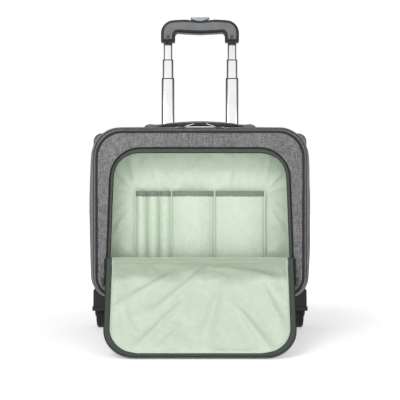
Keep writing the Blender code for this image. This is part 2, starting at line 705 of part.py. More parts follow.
def grip_cutters():
    """The hollows of the grip: tube sockets, cross channel, button slot and spring well."""
    middle = back(TROLLEY)
    hollows = [
        box("cross_channel", (-0.0665, middle - 0.0022, 0.5875), (0.0665, middle + 0.0022, 0.6004)),
        box("button_slot", (-BUTTON_HALF - GAP, middle - BUTTON_HALF_DEPTH - BUTTON_PLAY, 0.5966),
            (BUTTON_HALF + GAP, middle + BUTTON_HALF_DEPTH + BUTTON_PLAY, 0.62)),
        box("spring_well", (-0.0046, middle - 0.0046, 0.5840), (0.0046, middle + 0.0046, 0.5970)),
    ]
    half_x, half_y = STAGES[-1][0] + GAP, STAGES[-1][1] + GAP
    for name, sign in SIDES.items():
        hollows.append(box(f"tube_socket_{name}", (sign * TUBE_X - half_x, middle - half_y, 0.55),
                           (sign * TUBE_X + half_x, middle + half_y, STAGES[-1][4] + GAP)))
    return hollows


def make_grip():
    middle = back(TROLLEY)
    hollows = grip_cutters()
    for name, front, rear in (("front", middle - GRIP_HALF_DEPTH, middle - GAP / 2),
                              ("rear", middle + GAP / 2, middle + GRIP_HALF_DEPTH)):
        shell = plate(f"grip_shell_{name}", [grip_outline()], front, rear, "grip_plastic")
        edge = shell.modifiers.new("edge", "BEVEL")
        edge.width = GRIP_EDGE
        edge.segments = 2
        edge.limit_method = "ANGLE"
        edge.angle_limit = math.radians(60)
        if name == "rear":
            keep_flat = box("rear_half", (-0.09, middle + GAP / 2, 0.55), (0.09, middle + 0.02, 0.62))
            combine(shell, keep_flat, "INTERSECT")
        cut(shell, *hollows)
        if name == "front":
            for side, sign in SIDES.items():
                cut(shell, *screw_cutters(side, sign, front))
        smooth(shell)
    for side, sign in SIDES.items():
        make_grip_screw(side, sign, middle - GRIP_HALF_DEPTH)
    make_button()


def screw_cutters(side, sign, front):
    spot = (sign * SCREW_X, SCREW_Z)
    return (
        cylinder(f"screw_head_room_{side}", (spot[0], front - 0.002, spot[1]),
                 (spot[0], front + 0.0030, spot[1]), 0.0031, sides=20),
        cylinder(f"screw_shaft_room_{side}", (spot[0], front + 0.0020, spot[1]),
                 (spot[0], front + 0.0078, spot[1]), 0.0018, sides=16),
    )


def make_grip_screw(side, sign, front):
    """Heights run back from the head's face."""
    profile = ((0.0, 0.0), (0.0013, 0.0), (0.0027, 0.0), (0.0027, -0.0014), (0.0014, -0.0014),
               (0.0014, -0.0064), (0.0, -0.0064))
    turned(f"grip_screw_{side}", profile, (sign * SCREW_X, front + 0.0013, SCREW_Z), (0, -1, 0), "steel", 20)


def make_button():
    middle = back(TROLLEY)
    corners = ((-BUTTON_HALF, BUTTON_BOTTOM), (BUTTON_HALF, BUTTON_BOTTOM), (BUTTON_HALF, BUTTON_TOP),
               (-BUTTON_HALF, BUTTON_TOP))
    outline = rounded(corners, (0.001, 0.001, 0.0028, 0.0028), 4)
    smooth(plate("release_button", [outline], middle - BUTTON_HALF_DEPTH, middle + BUTTON_HALF_DEPTH,
                 "silver_button"))

    wire = bpy.data.curves.new("release_link", "CURVE")
    wire.dimensions = "3D"
    wire.bevel_depth = LINK_RADIUS
    wire.bevel_resolution = 2
    wire.use_fill_caps = True
    bend = 0.003
    route = [(-TUBE_X, LINK_FOOT), (-TUBE_X, LINK_Z - bend), (-TUBE_X + bend, LINK_Z), (TUBE_X - bend, LINK_Z),
             (TUBE_X, LINK_Z - bend), (TUBE_X, LINK_FOOT)]
    spline = wire.splines.new("POLY")
    spline.points.add(len(route) - 1)
    for point, (x, z) in zip(spline.points, route):
        point.co = (x, middle, z, 1.0)
    smooth(from_curve("release_link", wire, Matrix.Identity(4), "steel"))
    make_spring(middle)


def make_spring(middle):
    """Compression coil between the floor of its well and the cross wire."""
    steps = 10
    coil = bpy.data.curves.new("button_spring", "CURVE")
    coil.dimensions = "3D"
    coil.bevel_depth = 0.0003
    coil.bevel_resolution = 1
    coil.use_fill_caps = True
    spline = coil.splines.new("POLY")
    spline.points.add(SPRING_TURNS * steps)
    for number, point in enumerate(spline.points):
        angle = 2 * math.pi * number / steps
        height = SPRING_BOTTOM + (SPRING_TOP - SPRING_BOTTOM) * number / (SPRING_TURNS * steps)
        point.co = (SPRING_RADIUS * math.cos(angle), middle + SPRING_RADIUS * math.sin(angle), height, 1.0)
    smooth(from_curve("button_spring", coil, Matrix.Identity(4), "steel"))


make_shell()
make_interior()
make_feet()
for side_name, side_sign in SIDES.items():
    make_wheel(side_name, side_sign)
make_lid()
make_pouch()
make_organiser()
make_pocket_sliders()
make_flap()
make_carry_handle()
make_main_sliders()
make_tubes()
make_grip()
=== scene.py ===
"""Looks of the rolling laptop case: cloth, zips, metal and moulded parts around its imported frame."""

import json
import logging
import math
from dataclasses import dataclass, field
from enum import Enum
from typing import Callable, Iterable, Mapping, Sequence

import bmesh
import bpy
from mathutils import Matrix, Vector, noise

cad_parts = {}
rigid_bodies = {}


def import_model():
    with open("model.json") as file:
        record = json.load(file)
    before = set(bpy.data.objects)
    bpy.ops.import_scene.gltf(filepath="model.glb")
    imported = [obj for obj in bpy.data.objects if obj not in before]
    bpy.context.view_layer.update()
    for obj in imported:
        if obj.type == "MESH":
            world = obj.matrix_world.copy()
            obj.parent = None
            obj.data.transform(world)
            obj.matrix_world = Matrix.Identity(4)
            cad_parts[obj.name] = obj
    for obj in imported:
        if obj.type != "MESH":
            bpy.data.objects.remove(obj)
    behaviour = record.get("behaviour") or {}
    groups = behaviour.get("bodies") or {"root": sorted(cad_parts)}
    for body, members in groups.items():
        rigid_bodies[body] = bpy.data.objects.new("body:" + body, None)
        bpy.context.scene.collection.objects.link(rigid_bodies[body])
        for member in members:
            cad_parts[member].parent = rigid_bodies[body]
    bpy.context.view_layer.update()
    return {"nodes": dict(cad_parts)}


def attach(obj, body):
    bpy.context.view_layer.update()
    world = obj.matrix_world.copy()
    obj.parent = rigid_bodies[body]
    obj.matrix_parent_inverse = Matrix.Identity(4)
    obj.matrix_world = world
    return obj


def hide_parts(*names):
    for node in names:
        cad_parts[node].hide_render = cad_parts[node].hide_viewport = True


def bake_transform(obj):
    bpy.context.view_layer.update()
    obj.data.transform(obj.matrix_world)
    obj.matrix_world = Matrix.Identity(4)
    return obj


for leftover in list(bpy.data.objects):
    bpy.data.objects.remove(leftover, do_unlink=True)
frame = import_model()

log = logging.getLogger("rolling_laptop_case")

MM = 0.001
SIDES: dict[str, int] = {"left": -1, "right": 1}
ARC_STEPS = 10  # steps in a rounded corner of a four-sided outline
EDGE_CUTS = 8  # parts in each half side of such an outline
OPEN_FOOT = slice(EDGE_CUTS + 1, -EDGE_CUTS)  # such an outline without its lower edge
ZIP_PITCH = 2.0 * MM
Ring = list[Vector]
Flat = list[tuple[float, float]]
Shift = Callable[[Vector, Vector], Vector]
Item = bpy.types.Object
Mesh = bmesh.types.BMesh
Tree = bpy.types.NodeTree
Socket = bpy.types.NodeSocket


class Slot(str, Enum):
    """The record's material slots."""

    FABRIC = "grey_fabric"
    LINING = "mint_lining"
    TAPE = "zip_tape"
    TRIM = "dark_trim"
    HEM = "hem_elastic"
    BOARD = "board"
    MOULDED = "black_plastic"
    TYRE = "tyre_rubber"
    TUBE = "tube_aluminium"
    GRIP = "grip_plastic"
    BUTTON = "silver_button"
    ZIP = "zip_metal"
    STEEL = "steel"


# Materials --------------------------------------------------------------------------------------


def hex_colour(code: str) -> tuple[float, float, float, float]:
    """Turn an sRGB hex colour into linear RGBA.

    Args:
        code: Six hex digits after a hash.

    Returns:
        The linear colour with an alpha of 1.
    """
    parts = [int(code[start:start + 2], 16) / 255 for start in (1, 3, 5)]
    linear = [part / 12.92 if part <= 0.04045 else ((part + 0.055) / 1.055) ** 2.4 for part in parts]
    return (*linear, 1.0)


def add_node(tree: Tree, kind: str, inputs: Mapping | None = None,
             **settings: object) -> bpy.types.Node:
    """Add a shader node, set its options, and fill or link its inputs.

    Args:
        tree: The node tree that gets the node.
        kind: The node's Blender type without its ShaderNode prefix.
        inputs: Input name or number to a value or to an output socket.
        settings: The node's own options.

    Returns:
        The new node.
    """
    node = tree.nodes.new("ShaderNode" + kind)
    for name, value in settings.items():
        setattr(node, name, value)
    for name, value in (inputs or {}).items():
        if isinstance(value, Socket):
            tree.links.new(value, node.inputs[name])
        else:
            node.inputs[name].default_value = value
    return node


@dataclass(frozen=True)
class Paint:
    """A material while it is made: its nodes, its Principled shader and the place on the piece."""

    tree: Tree
    shader: bpy.types.Node
    place: Socket

    def link(self, value: Socket, name: str) -> None:
        """Link a value to one of the shader's inputs."""
        self.tree.links.new(value, self.shader.inputs[name])

    def stretched(self, scale: tuple[float, float, float]) -> Socket:
        """The place, scaled along each axis."""
        return add_node(self.tree, "Mapping", {"Vector": self.place, "Scale": scale}).outputs["Vector"]

    def noise(self, scale: float, detail: float, place: Socket | None = None,
              **inputs: float) -> Socket:
        """A noise, at the piece's place unless another is given."""
        return add_node(self.tree, "TexNoise", {"Vector": place or self.place, "Scale": scale,
                                                "Detail": detail, **inputs}).outputs["Fac"]

    def wave(self, period: float, axis: str, **inputs: float) -> Socket:
        """Bands that repeat every period metres along an axis."""
        return add_node(self.tree, "TexWave", {"Vector": self.place, "Scale": 2 * math.pi / (20 * period),
                                               **inputs}, bands_direction=axis).outputs["Fac"]

    def maths(self, operation: str, *values: float | Socket,
              **settings: object) -> Socket:
        """One mathematical operation."""
        return add_node(self.tree, "Math", dict(enumerate(values)), operation=operation,
                        **settings).outputs[0]

    def remap(self, value: Socket, low: float, high: float, to_low: float = 0.0,
              to_high: float = 1.0, kind: str = "LINEAR") -> Socket:
        """Map the range from low to high onto another range."""
        return add_node(self.tree, "MapRange", {"Value": value, "From Min": low, "From Max": high,
                                                "To Min": to_low, "To Max": to_high},
                        interpolation_type=kind).outputs["Result"]

    def tint(self, amount: Socket, first: str | Socket, second: str,
             blend: str = "MIX") -> None:
        """Colour the shader between two colours by an amount."""
        start = hex_colour(first) if isinstance(first, str) else first
        mix = add_node(self.tree, "Mix", {0: amount, 6: start, 7: hex_colour(second)}, data_type="RGBA",
                       blend_type=blend)
        self.link(mix.outputs[2], "Base Color")

    def relief(self, height: Socket, depth: float, strength: float) -> None:
        """Raise a height pattern, from 0 to 1, by a depth in metres."""
        bump = add_node(self.tree, "Bump", {"Height": height, "Distance": depth, "Strength": strength})
        self.link(bump.outputs["Normal"], "Normal")


@dataclass(frozen=True)
class Finish:
    """A plain finish, and the base of the patterned ones."""

    name: str
    colour: str
    roughness: float
    metallic: float = 0.0
    sheen: float = 0.0
    coat: float = 0.0

    def material(self) -> bpy.types.Material:
        """Return this finish's material, made the first time it is asked for."""
        known = bpy.data.materials.get(self.name)
        if known:
            return known
        made = bpy.data.materials.new(self.name)
        made.use_nodes = True
        made.diffuse_color = hex_colour(self.colour)
        tree = made.node_tree
        shader = tree.nodes["Principled BSDF"]
        for name, value in (("Base Color", hex_colour(self.colour)), ("Roughness", self.roughness),
                            ("Metallic", self.metallic), ("Sheen Weight", self.sheen),
                            ("Sheen Roughness", 0.5), ("Coat Weight", self.coat)):
            shader.inputs[name].default_value = value
        self.pattern(Paint(tree, shader, add_node(tree, "TexCoord").outputs["Object"]))
        return made

    def pattern(self, paint: Paint) -> None:
        """Add the colour, gloss and relief of the surface; the plain finish has none."""


@dataclass(frozen=True)
class Woven(Finish):
    """Woven cloth: crossing threads, with lighter and darker yarns spun together."""

    dark: str = "#000000"
    light: str = "#ffffff"
    thread: float = 1.1 * MM
    fleck: float = 3.0 * MM
    depth: float = 0.35 * MM

    def pattern(self, paint: Paint) -> None:
        """Mix flecks, streaks along both threads and broad shade, and raise the weave."""
        flecks = paint.noise(1 / self.fleck, 3.0, Roughness=0.65)
        warp, weft = (paint.noise(0.6 / self.thread, 2.0, paint.stretched(stretch))
                      for stretch in ((1.0, 1.0, 0.16), (0.16, 0.16, 1.0)))
        yarn = paint.maths("ADD", paint.maths("ADD", warp, weft), flecks)
        total = paint.maths("MULTIPLY_ADD", paint.noise(9.0, 2.0), 0.35, yarn)
        level = paint.remap(total, 1.36, 2.0)
        paint.tint(level, self.dark, self.light)
        waves = [paint.wave(self.thread, axis, Distortion=0.6, Detail=1.0) for axis in "XYZ"]
        weave = paint.maths("ADD", paint.maths("ADD", waves[0], waves[1]), waves[2])
        paint.relief(paint.maths("MULTIPLY_ADD", weave, 0.33, level), self.depth, 0.7)


@dataclass(frozen=True)
class FoldShaded(Woven):
    """Woven cloth with painted shade: darker in a band below a fold, where the cloth turns away from the light.
    """

    band: tuple[float, float, float, float] = (0.112, 0.126, 0.1508, 0.1522)
    painted_shade: str = "#d6d9d2"
    wander: float = 0.03

    def pattern(self, paint: Paint) -> None:
        """Weave the cloth, then darken it with painted shade between the heights of the band."""
        super().pattern(paint)
        woven = paint.shader.inputs["Base Color"].links[0].from_socket
        height = add_node(paint.tree, "SeparateXYZ", {0: paint.place}).outputs["Z"]
        moved = paint.maths("MULTIPLY_ADD", paint.noise(16.0, 1.0), -self.wander, height)
        low, full, fade, top = self.band
        rise = paint.remap(moved, low - self.wander / 2, full - self.wander / 2)
        amount = paint.maths("SUBTRACT", rise, paint.remap(height, fade, top), use_clamp=True)
        paint.tint(amount, woven, self.painted_shade, "MULTIPLY")


@dataclass(frozen=True)
class Ribbed(Finish):
    """Tape or elastic: close ribs, each a little lighter on its crest."""

    crest: str = "#ffffff"
    pitch: float = 1.2 * MM
    depth: float = 0.3 * MM
    axes: str = "XZ"

    def pattern(self, paint: Paint) -> None:
        """Lay waves along the chosen axes and tint their crests."""
        ribs = None
        for axis in self.axes:
            wave = paint.wave(self.pitch, axis, Distortion=0.3)
            ribs = wave if ribs is None else paint.maths("MULTIPLY", ribs, wave)
        paint.tint(paint.maths("MULTIPLY", ribs, paint.noise(60.0, 3.0)), self.colour, self.crest)
        paint.relief(ribs, self.depth, 0.6)


@dataclass(frozen=True)
class Moulded(Finish):
    """Moulded plastic or rubber: a fine spark-eroded grain with slightly uneven gloss."""

    worn: str = "#ffffff"
    grain: float = 1.0 * MM
    depth: float = 0.06 * MM

    def pattern(self, paint: Paint) -> None:
        """Cloud the colour and gloss and raise the grain."""
        cloud = paint.noise(35.0, 4.0)
        paint.tint(paint.remap(cloud, 0.35, 0.75, 0.0, 0.5), self.colour, self.worn)
        paint.link(paint.remap(cloud, 0.0, 1.0, self.roughness - 0.07, self.roughness + 0.07), "Roughness")
        grain = add_node(paint.tree, "TexVoronoi", {"Vector": paint.place, "Scale": 1 / self.grain})
        paint.relief(grain.outputs["Distance"], self.depth, 0.5)


@dataclass(frozen=True)
class Drawn(Finish):
    """Drawn or rolled metal: hairlines along one direction and faint handling marks."""

    hairline: float = 0.5 * MM
    stretch: tuple[float, float, float] = (1.0, 1.0, 0.02)
    shade: str = "#808080"

    def pattern(self, paint: Paint) -> None:
        """Streak the gloss along the metal and cloud its colour a little."""
        lines = paint.noise(1 / self.hairline, 2.0, paint.stretched(self.stretch))
        paint.link(paint.remap(lines, 0.0, 1.0, self.roughness * 0.7, self.roughness * 1.4), "Roughness")
        marks = paint.noise(22.0, 5.0)
        paint.tint(paint.remap(marks, 0.55, 0.8, 0.0, 0.4), self.colour, self.shade)
        paint.relief(lines, 0.02 * MM, 0.4)


@dataclass(frozen=True)
class StudioFloor(Finish):
    """Painted studio floor: white, with a faint mottle, and lit from within enough to stay white."""

    glow: tuple[float, float] = (0.42, 1.05)

    def pattern(self, paint: Paint) -> None:
        """Mottle the paint a little and let it glow, more so further away."""
        paint.tint(paint.noise(6.0, 3.0), "#f2f2f2", "#fafafa")
        away = add_node(paint.tree, "VectorMath", {0: paint.place}, operation="LENGTH").outputs["Value"]
        paint.shader.inputs["Emission Color"].default_value = hex_colour("#ffffff")
        paint.link(paint.remap(away, 0.3, 1.3, *self.glow, "SMOOTHSTEP"), "Emission Strength")


# Melange polyester: two greys of yarn give the cloth its salt-and-pepper flecks. The real flecks are
# about a millimetre; they are drawn at three so that they show.
MELANGE = Woven("melange_polyester", "#7c7c7c", 0.92, sheen=0.06, dark="#4e4e4e", light="#7e7e7e")
# Taffeta lining: smooth fine weave, pale mint, with the faint sheen of a calendered polyester.
TAFFETA = Woven("mint_taffeta", "#c0cdbb", 0.6, sheen=0.06, dark="#bac8b5", light="#c5d2c1",
                thread=0.8 * MM, fleck=14 * MM, depth=0.06 * MM)
# The same taffeta on the flap, with a band of painted shade below the fold.
FOLD_SHADE_TAFFETA = FoldShaded("fold_shade_painted_taffeta", "#c0cdbb", 0.6, sheen=0.06, dark="#bac8b5", light="#c5d2c1",
                     thread=0.8 * MM, fleck=14 * MM, depth=0.06 * MM)
# Zip tape: olive herringbone tape, matt.
ZIP_TAPE = Ribbed("olive_zip_tape", "#39413a", 0.85, sheen=0.06, crest="#565f56", pitch=1.6 * MM)
# Coil zip and piping: black polyester, a little shiny from the needle loops.
PIPING = Ribbed("black_piping", "#101112", 0.65, crest="#26282a", pitch=1.6 * MM, axes="XYZ")
# Gathering elastic: knitted with upright ribs.
ELASTIC = Ribbed("ribbed_elastic", "#6c7669", 0.8, sheen=0.1, crest="#8d978a", pitch=2.4 * MM, axes="X")
# Binding along the organiser's seams: pale cotton tape.
BINDING = Ribbed("pale_binding", "#b4c2ac", 0.85, crest="#d2dcc9", pitch=1.4 * MM, axes="Z")
# Anodised and polished aluminium extrusion.
ALUMINIUM = Drawn("anodised_aluminium", "#eeeff0", 0.12, metallic=1.0, shade="#c9cbce")
# ABS grip, spark-eroded, of one dark grey: its grey face is a painted highlight where the front catches the
# light, and its near-black rim is painted shade on the faces turned up and down.
GRIP_HIGHLIGHT_FACE = Moulded("grip_painted_highlight_abs", "#5c5d5e", 0.5, worn="#707172", coat=0.05)
GRIP_SHADE_RIM = Moulded("grip_painted_shade_abs", "#0c0c0d", 0.5, worn="#19191a")
# Metallised push button: vacuum-coated silver.
SILVER = Drawn("metallised_silver", "#95979b", 0.4, metallic=0.9, stretch=(0.05, 1.0, 1.0), shade="#b2b4b7")
# Moulded polypropylene: satin black, greyed where it rubs.
POLYPROPYLENE = Moulded("black_polypropylene", "#101112", 0.55, worn="#1e1f20")
# Polyurethane tyre: matt, dusty on the tread.
POLYURETHANE = Moulded("black_polyurethane", "#0b0b0c", 0.75, worn="#1c1c1d", grain=1.6 * MM)
# Nickel-plated zinc: bright die-cast zip pulls.
NICKEL = Drawn("nickel_plated_zinc", "#d9d6d1", 0.16, metallic=1.0, stretch=(1.0, 1.0, 1.0), shade="#a6a39e")
# Black-lacquered zinc: the sliders.
LACQUER = Moulded("black_lacquer", "#161617", 0.3, worn="#2a2a2b", coat=0.4)
# Zinc-plated steel in dark grey: axles, screws and the hidden linkage; on the screw heads the dark grey is also
# painted shade of their recesses.
ZINC_STEEL = Drawn("zinc_plated_steel", "#4c4d50", 0.45, metallic=1.0, shade="#3a3b3d")
# Polyethylene board: dark stiffener, planed flat.
BOARD = Moulded("polyethylene_board", "#2a2b2c", 0.6, worn="#3b3c3e", grain=2.0 * MM)


# Mesh tools -------------------------------------------------------------------------------------


def outline(corners: Sequence[tuple[float, float]], radii: Sequence[float],
            segments: int = ARC_STEPS) -> Flat:
    """Round a polygon's corners and give its points in order, starting at its first corner.

    Args:
        corners: The polygon's corners; the first one stays sharp.
        radii: A radius for each corner, 0 for a sharp one.
        segments: How many steps an arc has.

    Returns:
        The outline's points.
    """
    shape = bmesh.new()
    points = [shape.verts.new((x, z, 0.0)) for x, z in corners]
    shape.faces.new(points)
    for point, radius in zip(points, radii):
        if radius > 0:
            bmesh.ops.bevel(shape, geom=[point], offset=radius, segments=segments, profile=0.5,
                            affect="VERTICES", material=-1)
    shape.faces.ensure_lookup_table()
    places = [(loop.vert.co.x, loop.vert.co.y) for loop in shape.faces[0].loops]
    start = min(range(len(places)), key=lambda number: (Vector(places[number]) - Vector(corners[0])).length)
    places = places[start:] + places[:start]
    ahead = Vector(places[1]) - Vector(places[0])
    if ahead.dot(Vector(corners[1]) - Vector(corners[0])) < 0:
        places = places[:1] + places[:0:-1]
    shape.free()
    return places


def frame_outline(bottom_half: float, top_half: float, bottom: float, top: float, bottom_radius: float,
                  top_radius: float) -> Flat:
    """Outline of a four-sided panel, always with the same number of points, from its bottom centre.

    Args:
        bottom_half: Half width at the bottom.
        top_half: Half width at the top.
        bottom: Lowest height.
        top: Highest height.
        bottom_radius: Radius of the lower corners.
        top_radius: Radius of the upper corners.

    Returns:
        The outline's points.
    """
    middle_half, middle = (bottom_half + top_half) / 2, (bottom + top) / 2
    corners = ((0, bottom), (bottom_half, bottom), (middle_half, middle), (top_half, top), (0, top),
               (-top_half, top), (-middle_half, middle), (-bottom_half, bottom))
    places = outline(corners, (0, bottom_radius, 0, top_radius, 0, top_radius, 0, bottom_radius))
    ring: Flat = []
    position = 0
    for _ in range(4):
        for arc_follows in (True, False):
            start_point = Vector(places[position])
            step = Vector(places[(position + 1) % len(places)]) - start_point
            ring += [tuple(start_point + step * part / EDGE_CUTS) for part in range(EDGE_CUTS)]
            position += 1
            if arc_follows:
                ring += places[position:position + ARC_STEPS]
                position += ARC_STEPS
    return ring


def upright(places: Iterable[tuple[float, float]], y: float) -> Ring:
    """Stand a flat outline up at a depth."""
    return [Vector((x, y, z)) for x, z in places]


def panel_ring(sizes: Sequence[float], inset: float, y: float, least: float) -> Ring:
    """Upright outline of a flat panel, moved inwards.

    Args:
        sizes: Its half width, bottom, top and corner radius.
        inset: How far it is moved inwards.
        y: Its depth.
        least: Smallest radius its corners may get.

    Returns:
        The outline.
    """
    half, bottom, top, radius = sizes
    corner = max(radius - inset, least)
    return upright(frame_outline(half - inset, half - inset, bottom + inset, top - inset, corner, corner), y)


def boundary(mesh: Mesh) -> list[bmesh.types.BMEdge]:
    """The edges with a face on one side only."""
    return [edge for edge in mesh.edges if edge.is_boundary]


def extruded(mesh: Mesh, edges: Sequence[bmesh.types.BMEdge]) -> tuple[list, set, list]:
    """Extrude edges once, and give the new faces, vertices and outer edges."""
    made = bmesh.ops.extrude_edge_only(mesh, edges=edges)["geom"]
    fresh = {item for item in made if isinstance(item, bmesh.types.BMVert)}
    faces = [item for item in made if isinstance(item, bmesh.types.BMFace)]
    outer = [item for item in made if isinstance(item, bmesh.types.BMEdge) and fresh.issuperset(item.verts)]
    return faces, fresh, outer


def skin(mesh: Mesh, rings: Sequence[Ring], closed_rings: bool = True,
         material: Callable[[int], int] | None = None) -> list[list[bmesh.types.BMVert]]:
    """Extrude the first ring from one outline to the next.

    Args:
        mesh: The mesh that gets the surface.
        rings: Outlines with the same number of points.
        closed_rings: Whether each ring closes on itself.
        material: Gives the material number of each band.

    Returns:
        The rows of vertices.
    """
    row = [mesh.verts.new(point) for point in rings[0]]
    pairs = zip(row, row[1:] + row[:1]) if closed_rings else zip(row, row[1:])
    edges = [mesh.edges.new(pair) for pair in pairs]
    rows = [row]
    for band, ring in enumerate(rings[1:]):
        faces, fresh, edges = extruded(mesh, edges)
        following = []
        for vert, place in zip(row, ring):
            other = next(edge.other_vert(vert) for edge in vert.link_edges if edge.other_vert(vert) in fresh)
            other.co = place
            following.append(other)
        if material:
            for face in faces:
                face.material_index = material(band)
        row = following
        rows.append(row)
    return rows


def solid(rings: Sequence[Ring], material: Callable[[int], int] | None = None) -> Mesh:
    """Skin outlines into a body with a face at both ends."""
    mesh = bmesh.new()
    rows = skin(mesh, rings, material=material)
    for row in (rows[0], rows[-1]):
        mesh.faces.new(row)
    return mesh


def hollow(rings: Sequence[Ring]) -> Mesh:
    """Skin outlines into a wall whose last edge joins its first."""
    mesh = bmesh.new()
    skin(mesh, rings)
    bmesh.ops.bridge_loops(mesh, edges=boundary(mesh))
    return mesh


def cut_away(mesh: Mesh, unwanted: Callable[[Vector], bool]) -> None:
    """Remove the faces whose middle passes a test."""
    gone = [face for face in mesh.faces if unwanted(face.calc_center_median())]
    bmesh.ops.delete(mesh, geom=gone, context="FACES")


def new_piece(name: str, mesh: Mesh, finishes: Sequence[Finish], sharp: float = 40.0,
              recalculate: bool = True) -> Item:
    """Turn a bmesh into an object with its finishes.

    Args:
        name: The piece's name.
        mesh: Its mesh, which is freed.
        finishes: The finishes of its material numbers.
        sharp: Edges that turn by more degrees stay sharp.
        recalculate: Whether its normals are made to point outwards.

    Returns:
        The object.
    """
    if recalculate:
        bmesh.ops.recalc_face_normals(mesh, faces=mesh.faces)
    data = bpy.data.meshes.new(name)
    mesh.to_mesh(data)
    mesh.free()
    for finish in finishes:
        data.materials.append(finish.material())
    data.shade_smooth()
    data.set_sharp_from_angle(angle=math.radians(sharp))
    item = bpy.data.objects.new(name, data)
    bpy.context.scene.collection.objects.link(item)
    return item


def thicken(item: Item, thickness: float, offset: float = -1.0, inner: int = 0,
            rim: int = 0) -> Item:
    """Give a surface a wall, with other materials inside and on the rim if wanted."""
    wall = item.modifiers.new("wall", "SOLIDIFY")
    wall.thickness = thickness
    wall.offset = offset
    wall.material_offset = inner
    wall.material_offset_rim = rim
    wall.use_even_offset = True
    return item


def soften(item: Item) -> Item:
    """Round a piece with one level of subdivision."""
    smooth = item.modifiers.new("soft", "SUBSURF")
    smooth.levels = smooth.render_levels = 1
    return item


def round_edges(item: Item, width: float, segments: int = 3, angle: float = 35.0) -> Item:
    """Round the edges that turn by more than the angle."""
    bevel = item.modifiers.new("rounded", "BEVEL")
    bevel.width = width
    bevel.segments = segments
    bevel.limit_method = "ANGLE"
    bevel.angle_limit = math.radians(angle)
    bevel.harden_normals = False
    return item


def bake(item: Item) -> Item:
    """Apply a piece's modifiers."""
    bpy.context.view_layer.update()
    evaluated = item.evaluated_get(bpy.context.evaluated_depsgraph_get())
    data = bpy.data.meshes.new_from_object(evaluated)
    data.name = item.name
    old = item.data
    item.modifiers.clear()
    item.data = data
    if old.users == 0:
        bpy.data.meshes.remove(old)
    return item


def move_points(item: Item, shift: Shift) -> Item:
    """Move each vertex by what a function of its place and normal gives."""
    data = item.data
    moved = [vert.co + shift(vert.co, vert.normal) for vert in data.vertices]
    for vert, place in zip(data.vertices, moved):
        vert.co = place
    data.update()
    return item


def rumple(amount: float, size: float, seed: float) -> Shift:
    """Give a shift that makes soft uneven cloth: noise of this size along the direction given."""
    offset = Vector((seed, seed * 1.7, seed * 0.3))

    def shift(place: Vector, normal: Vector) -> Vector:
        """Return the shift at one point."""
        return normal * amount * noise.noise(place / size + offset)

    return shift


def cord_along(name: str, path: Ring, radius: float, finish: Finish, closed: bool = True) -> Item:
    """Make piping: a round cord through the points.

    Args:
        name: The piece's name.
        path: The points.
        radius: The cord's radius.
        finish: Its finish.
        closed: Whether it is a ring.

    Returns:
        The piece, as a mesh.
    """
    curve = bpy.data.curves.new(name, "CURVE")
    curve.dimensions = "3D"
    curve.bevel_depth = radius
    curve.bevel_resolution = 3
    curve.use_fill_caps = not closed
    spline = curve.splines.new("POLY")
    spline.points.add(len(path) - 1)
    for point, place in zip(spline.points, path):
        point.co = (*place, 1.0)
    spline.use_cyclic_u = closed
    guide = bpy.data.objects.new(name + "_guide", curve)
    bpy.context.scene.collection.objects.link(guide)
    bpy.context.view_layer.update()
    data = bpy.data.meshes.new_from_object(guide.evaluated_get(bpy.context.evaluated_depsgraph_get()))
    bpy.data.objects.remove(guide)
    bpy.data.curves.remove(curve)
    mesh = bmesh.new()
    mesh.from_mesh(data)
    bpy.data.meshes.remove(data)
    bmesh.ops.remove_doubles(mesh, verts=mesh.verts, dist=0.01 * MM)
    return new_piece(name, mesh, [finish], 60)


def teeth_along(name: str, path: Ring, outward: Ring, size: tuple[float, float, float],
                closed: bool = True) -> Item:
    """Set a row of small black zip teeth along a path.

    Args:
        name: The piece's name.
        path: The points that the row follows.
        outward: The direction that the teeth face at each point.
        size: Tooth length along the row, across it, and outward.
        closed: Whether the path is a ring.

    Returns:
        The row as one piece.
    """
    seed = bmesh.new()
    bmesh.ops.create_cube(seed, size=1.0)
    bmesh.ops.scale(seed, vec=size, verts=seed.verts)
    upper = [edge for edge in seed.edges if all(vert.co.z > 0 for vert in edge.verts)]
    bmesh.ops.bevel(seed, geom=upper, offset=min(size) * 0.3, segments=1, profile=0.5, affect="EDGES",
                    material=-1)
    tooth = bpy.data.meshes.new(name + "_tooth")
    seed.to_mesh(tooth)
    seed.free()
    mesh = bmesh.new()
    points = path + path[:1] if closed else path
    facing = outward + outward[:1] if closed else outward
    travelled, wanted = 0.0, ZIP_PITCH / 2
    for here, there, face in zip(points, points[1:], facing):
        step = there - here
        length = step.length
        while length > 0 and wanted <= travelled + length:
            ahead = step.normalized()
            across = face.cross(ahead).normalized()
            turn = Matrix((ahead, across, ahead.cross(across))).transposed().to_4x4()
            place = Matrix.Translation(here + ahead * (wanted - travelled))
            known = len(mesh.verts)
            mesh.from_mesh(tooth)
            mesh.verts.ensure_lookup_table()
            bmesh.ops.transform(mesh, matrix=place @ turn, verts=mesh.verts[known:])
            wanted += ZIP_PITCH
        travelled += length
    bpy.data.meshes.remove(tooth)
    return new_piece(name, mesh, [PIPING], 30)


def block(mesh: Mesh, low: Sequence[float], high: Sequence[float], bevel: float,
          segments: int) -> list[bmesh.types.BMVert]:
    """Add a block between two corners, with rounded edges.

    Args:
        mesh: The mesh that gets it.
        low: Its lowest corner.
        high: Its highest corner.
        bevel: The rounding's width.
        segments: The rounding's steps.

    Returns:
        Its vertices.
    """
    part = bmesh.new()
    bmesh.ops.create_cube(part, size=1.0)
    bmesh.ops.scale(part, vec=Vector(high) - Vector(low), verts=part.verts)
    bmesh.ops.translate(part, vec=(Vector(low) + Vector(high)) / 2, verts=part.verts)
    bmesh.ops.bevel(part, geom=part.edges[:], offset=bevel, segments=segments, profile=0.5, affect="EDGES",
                    material=-1)
    return absorb(mesh, part)


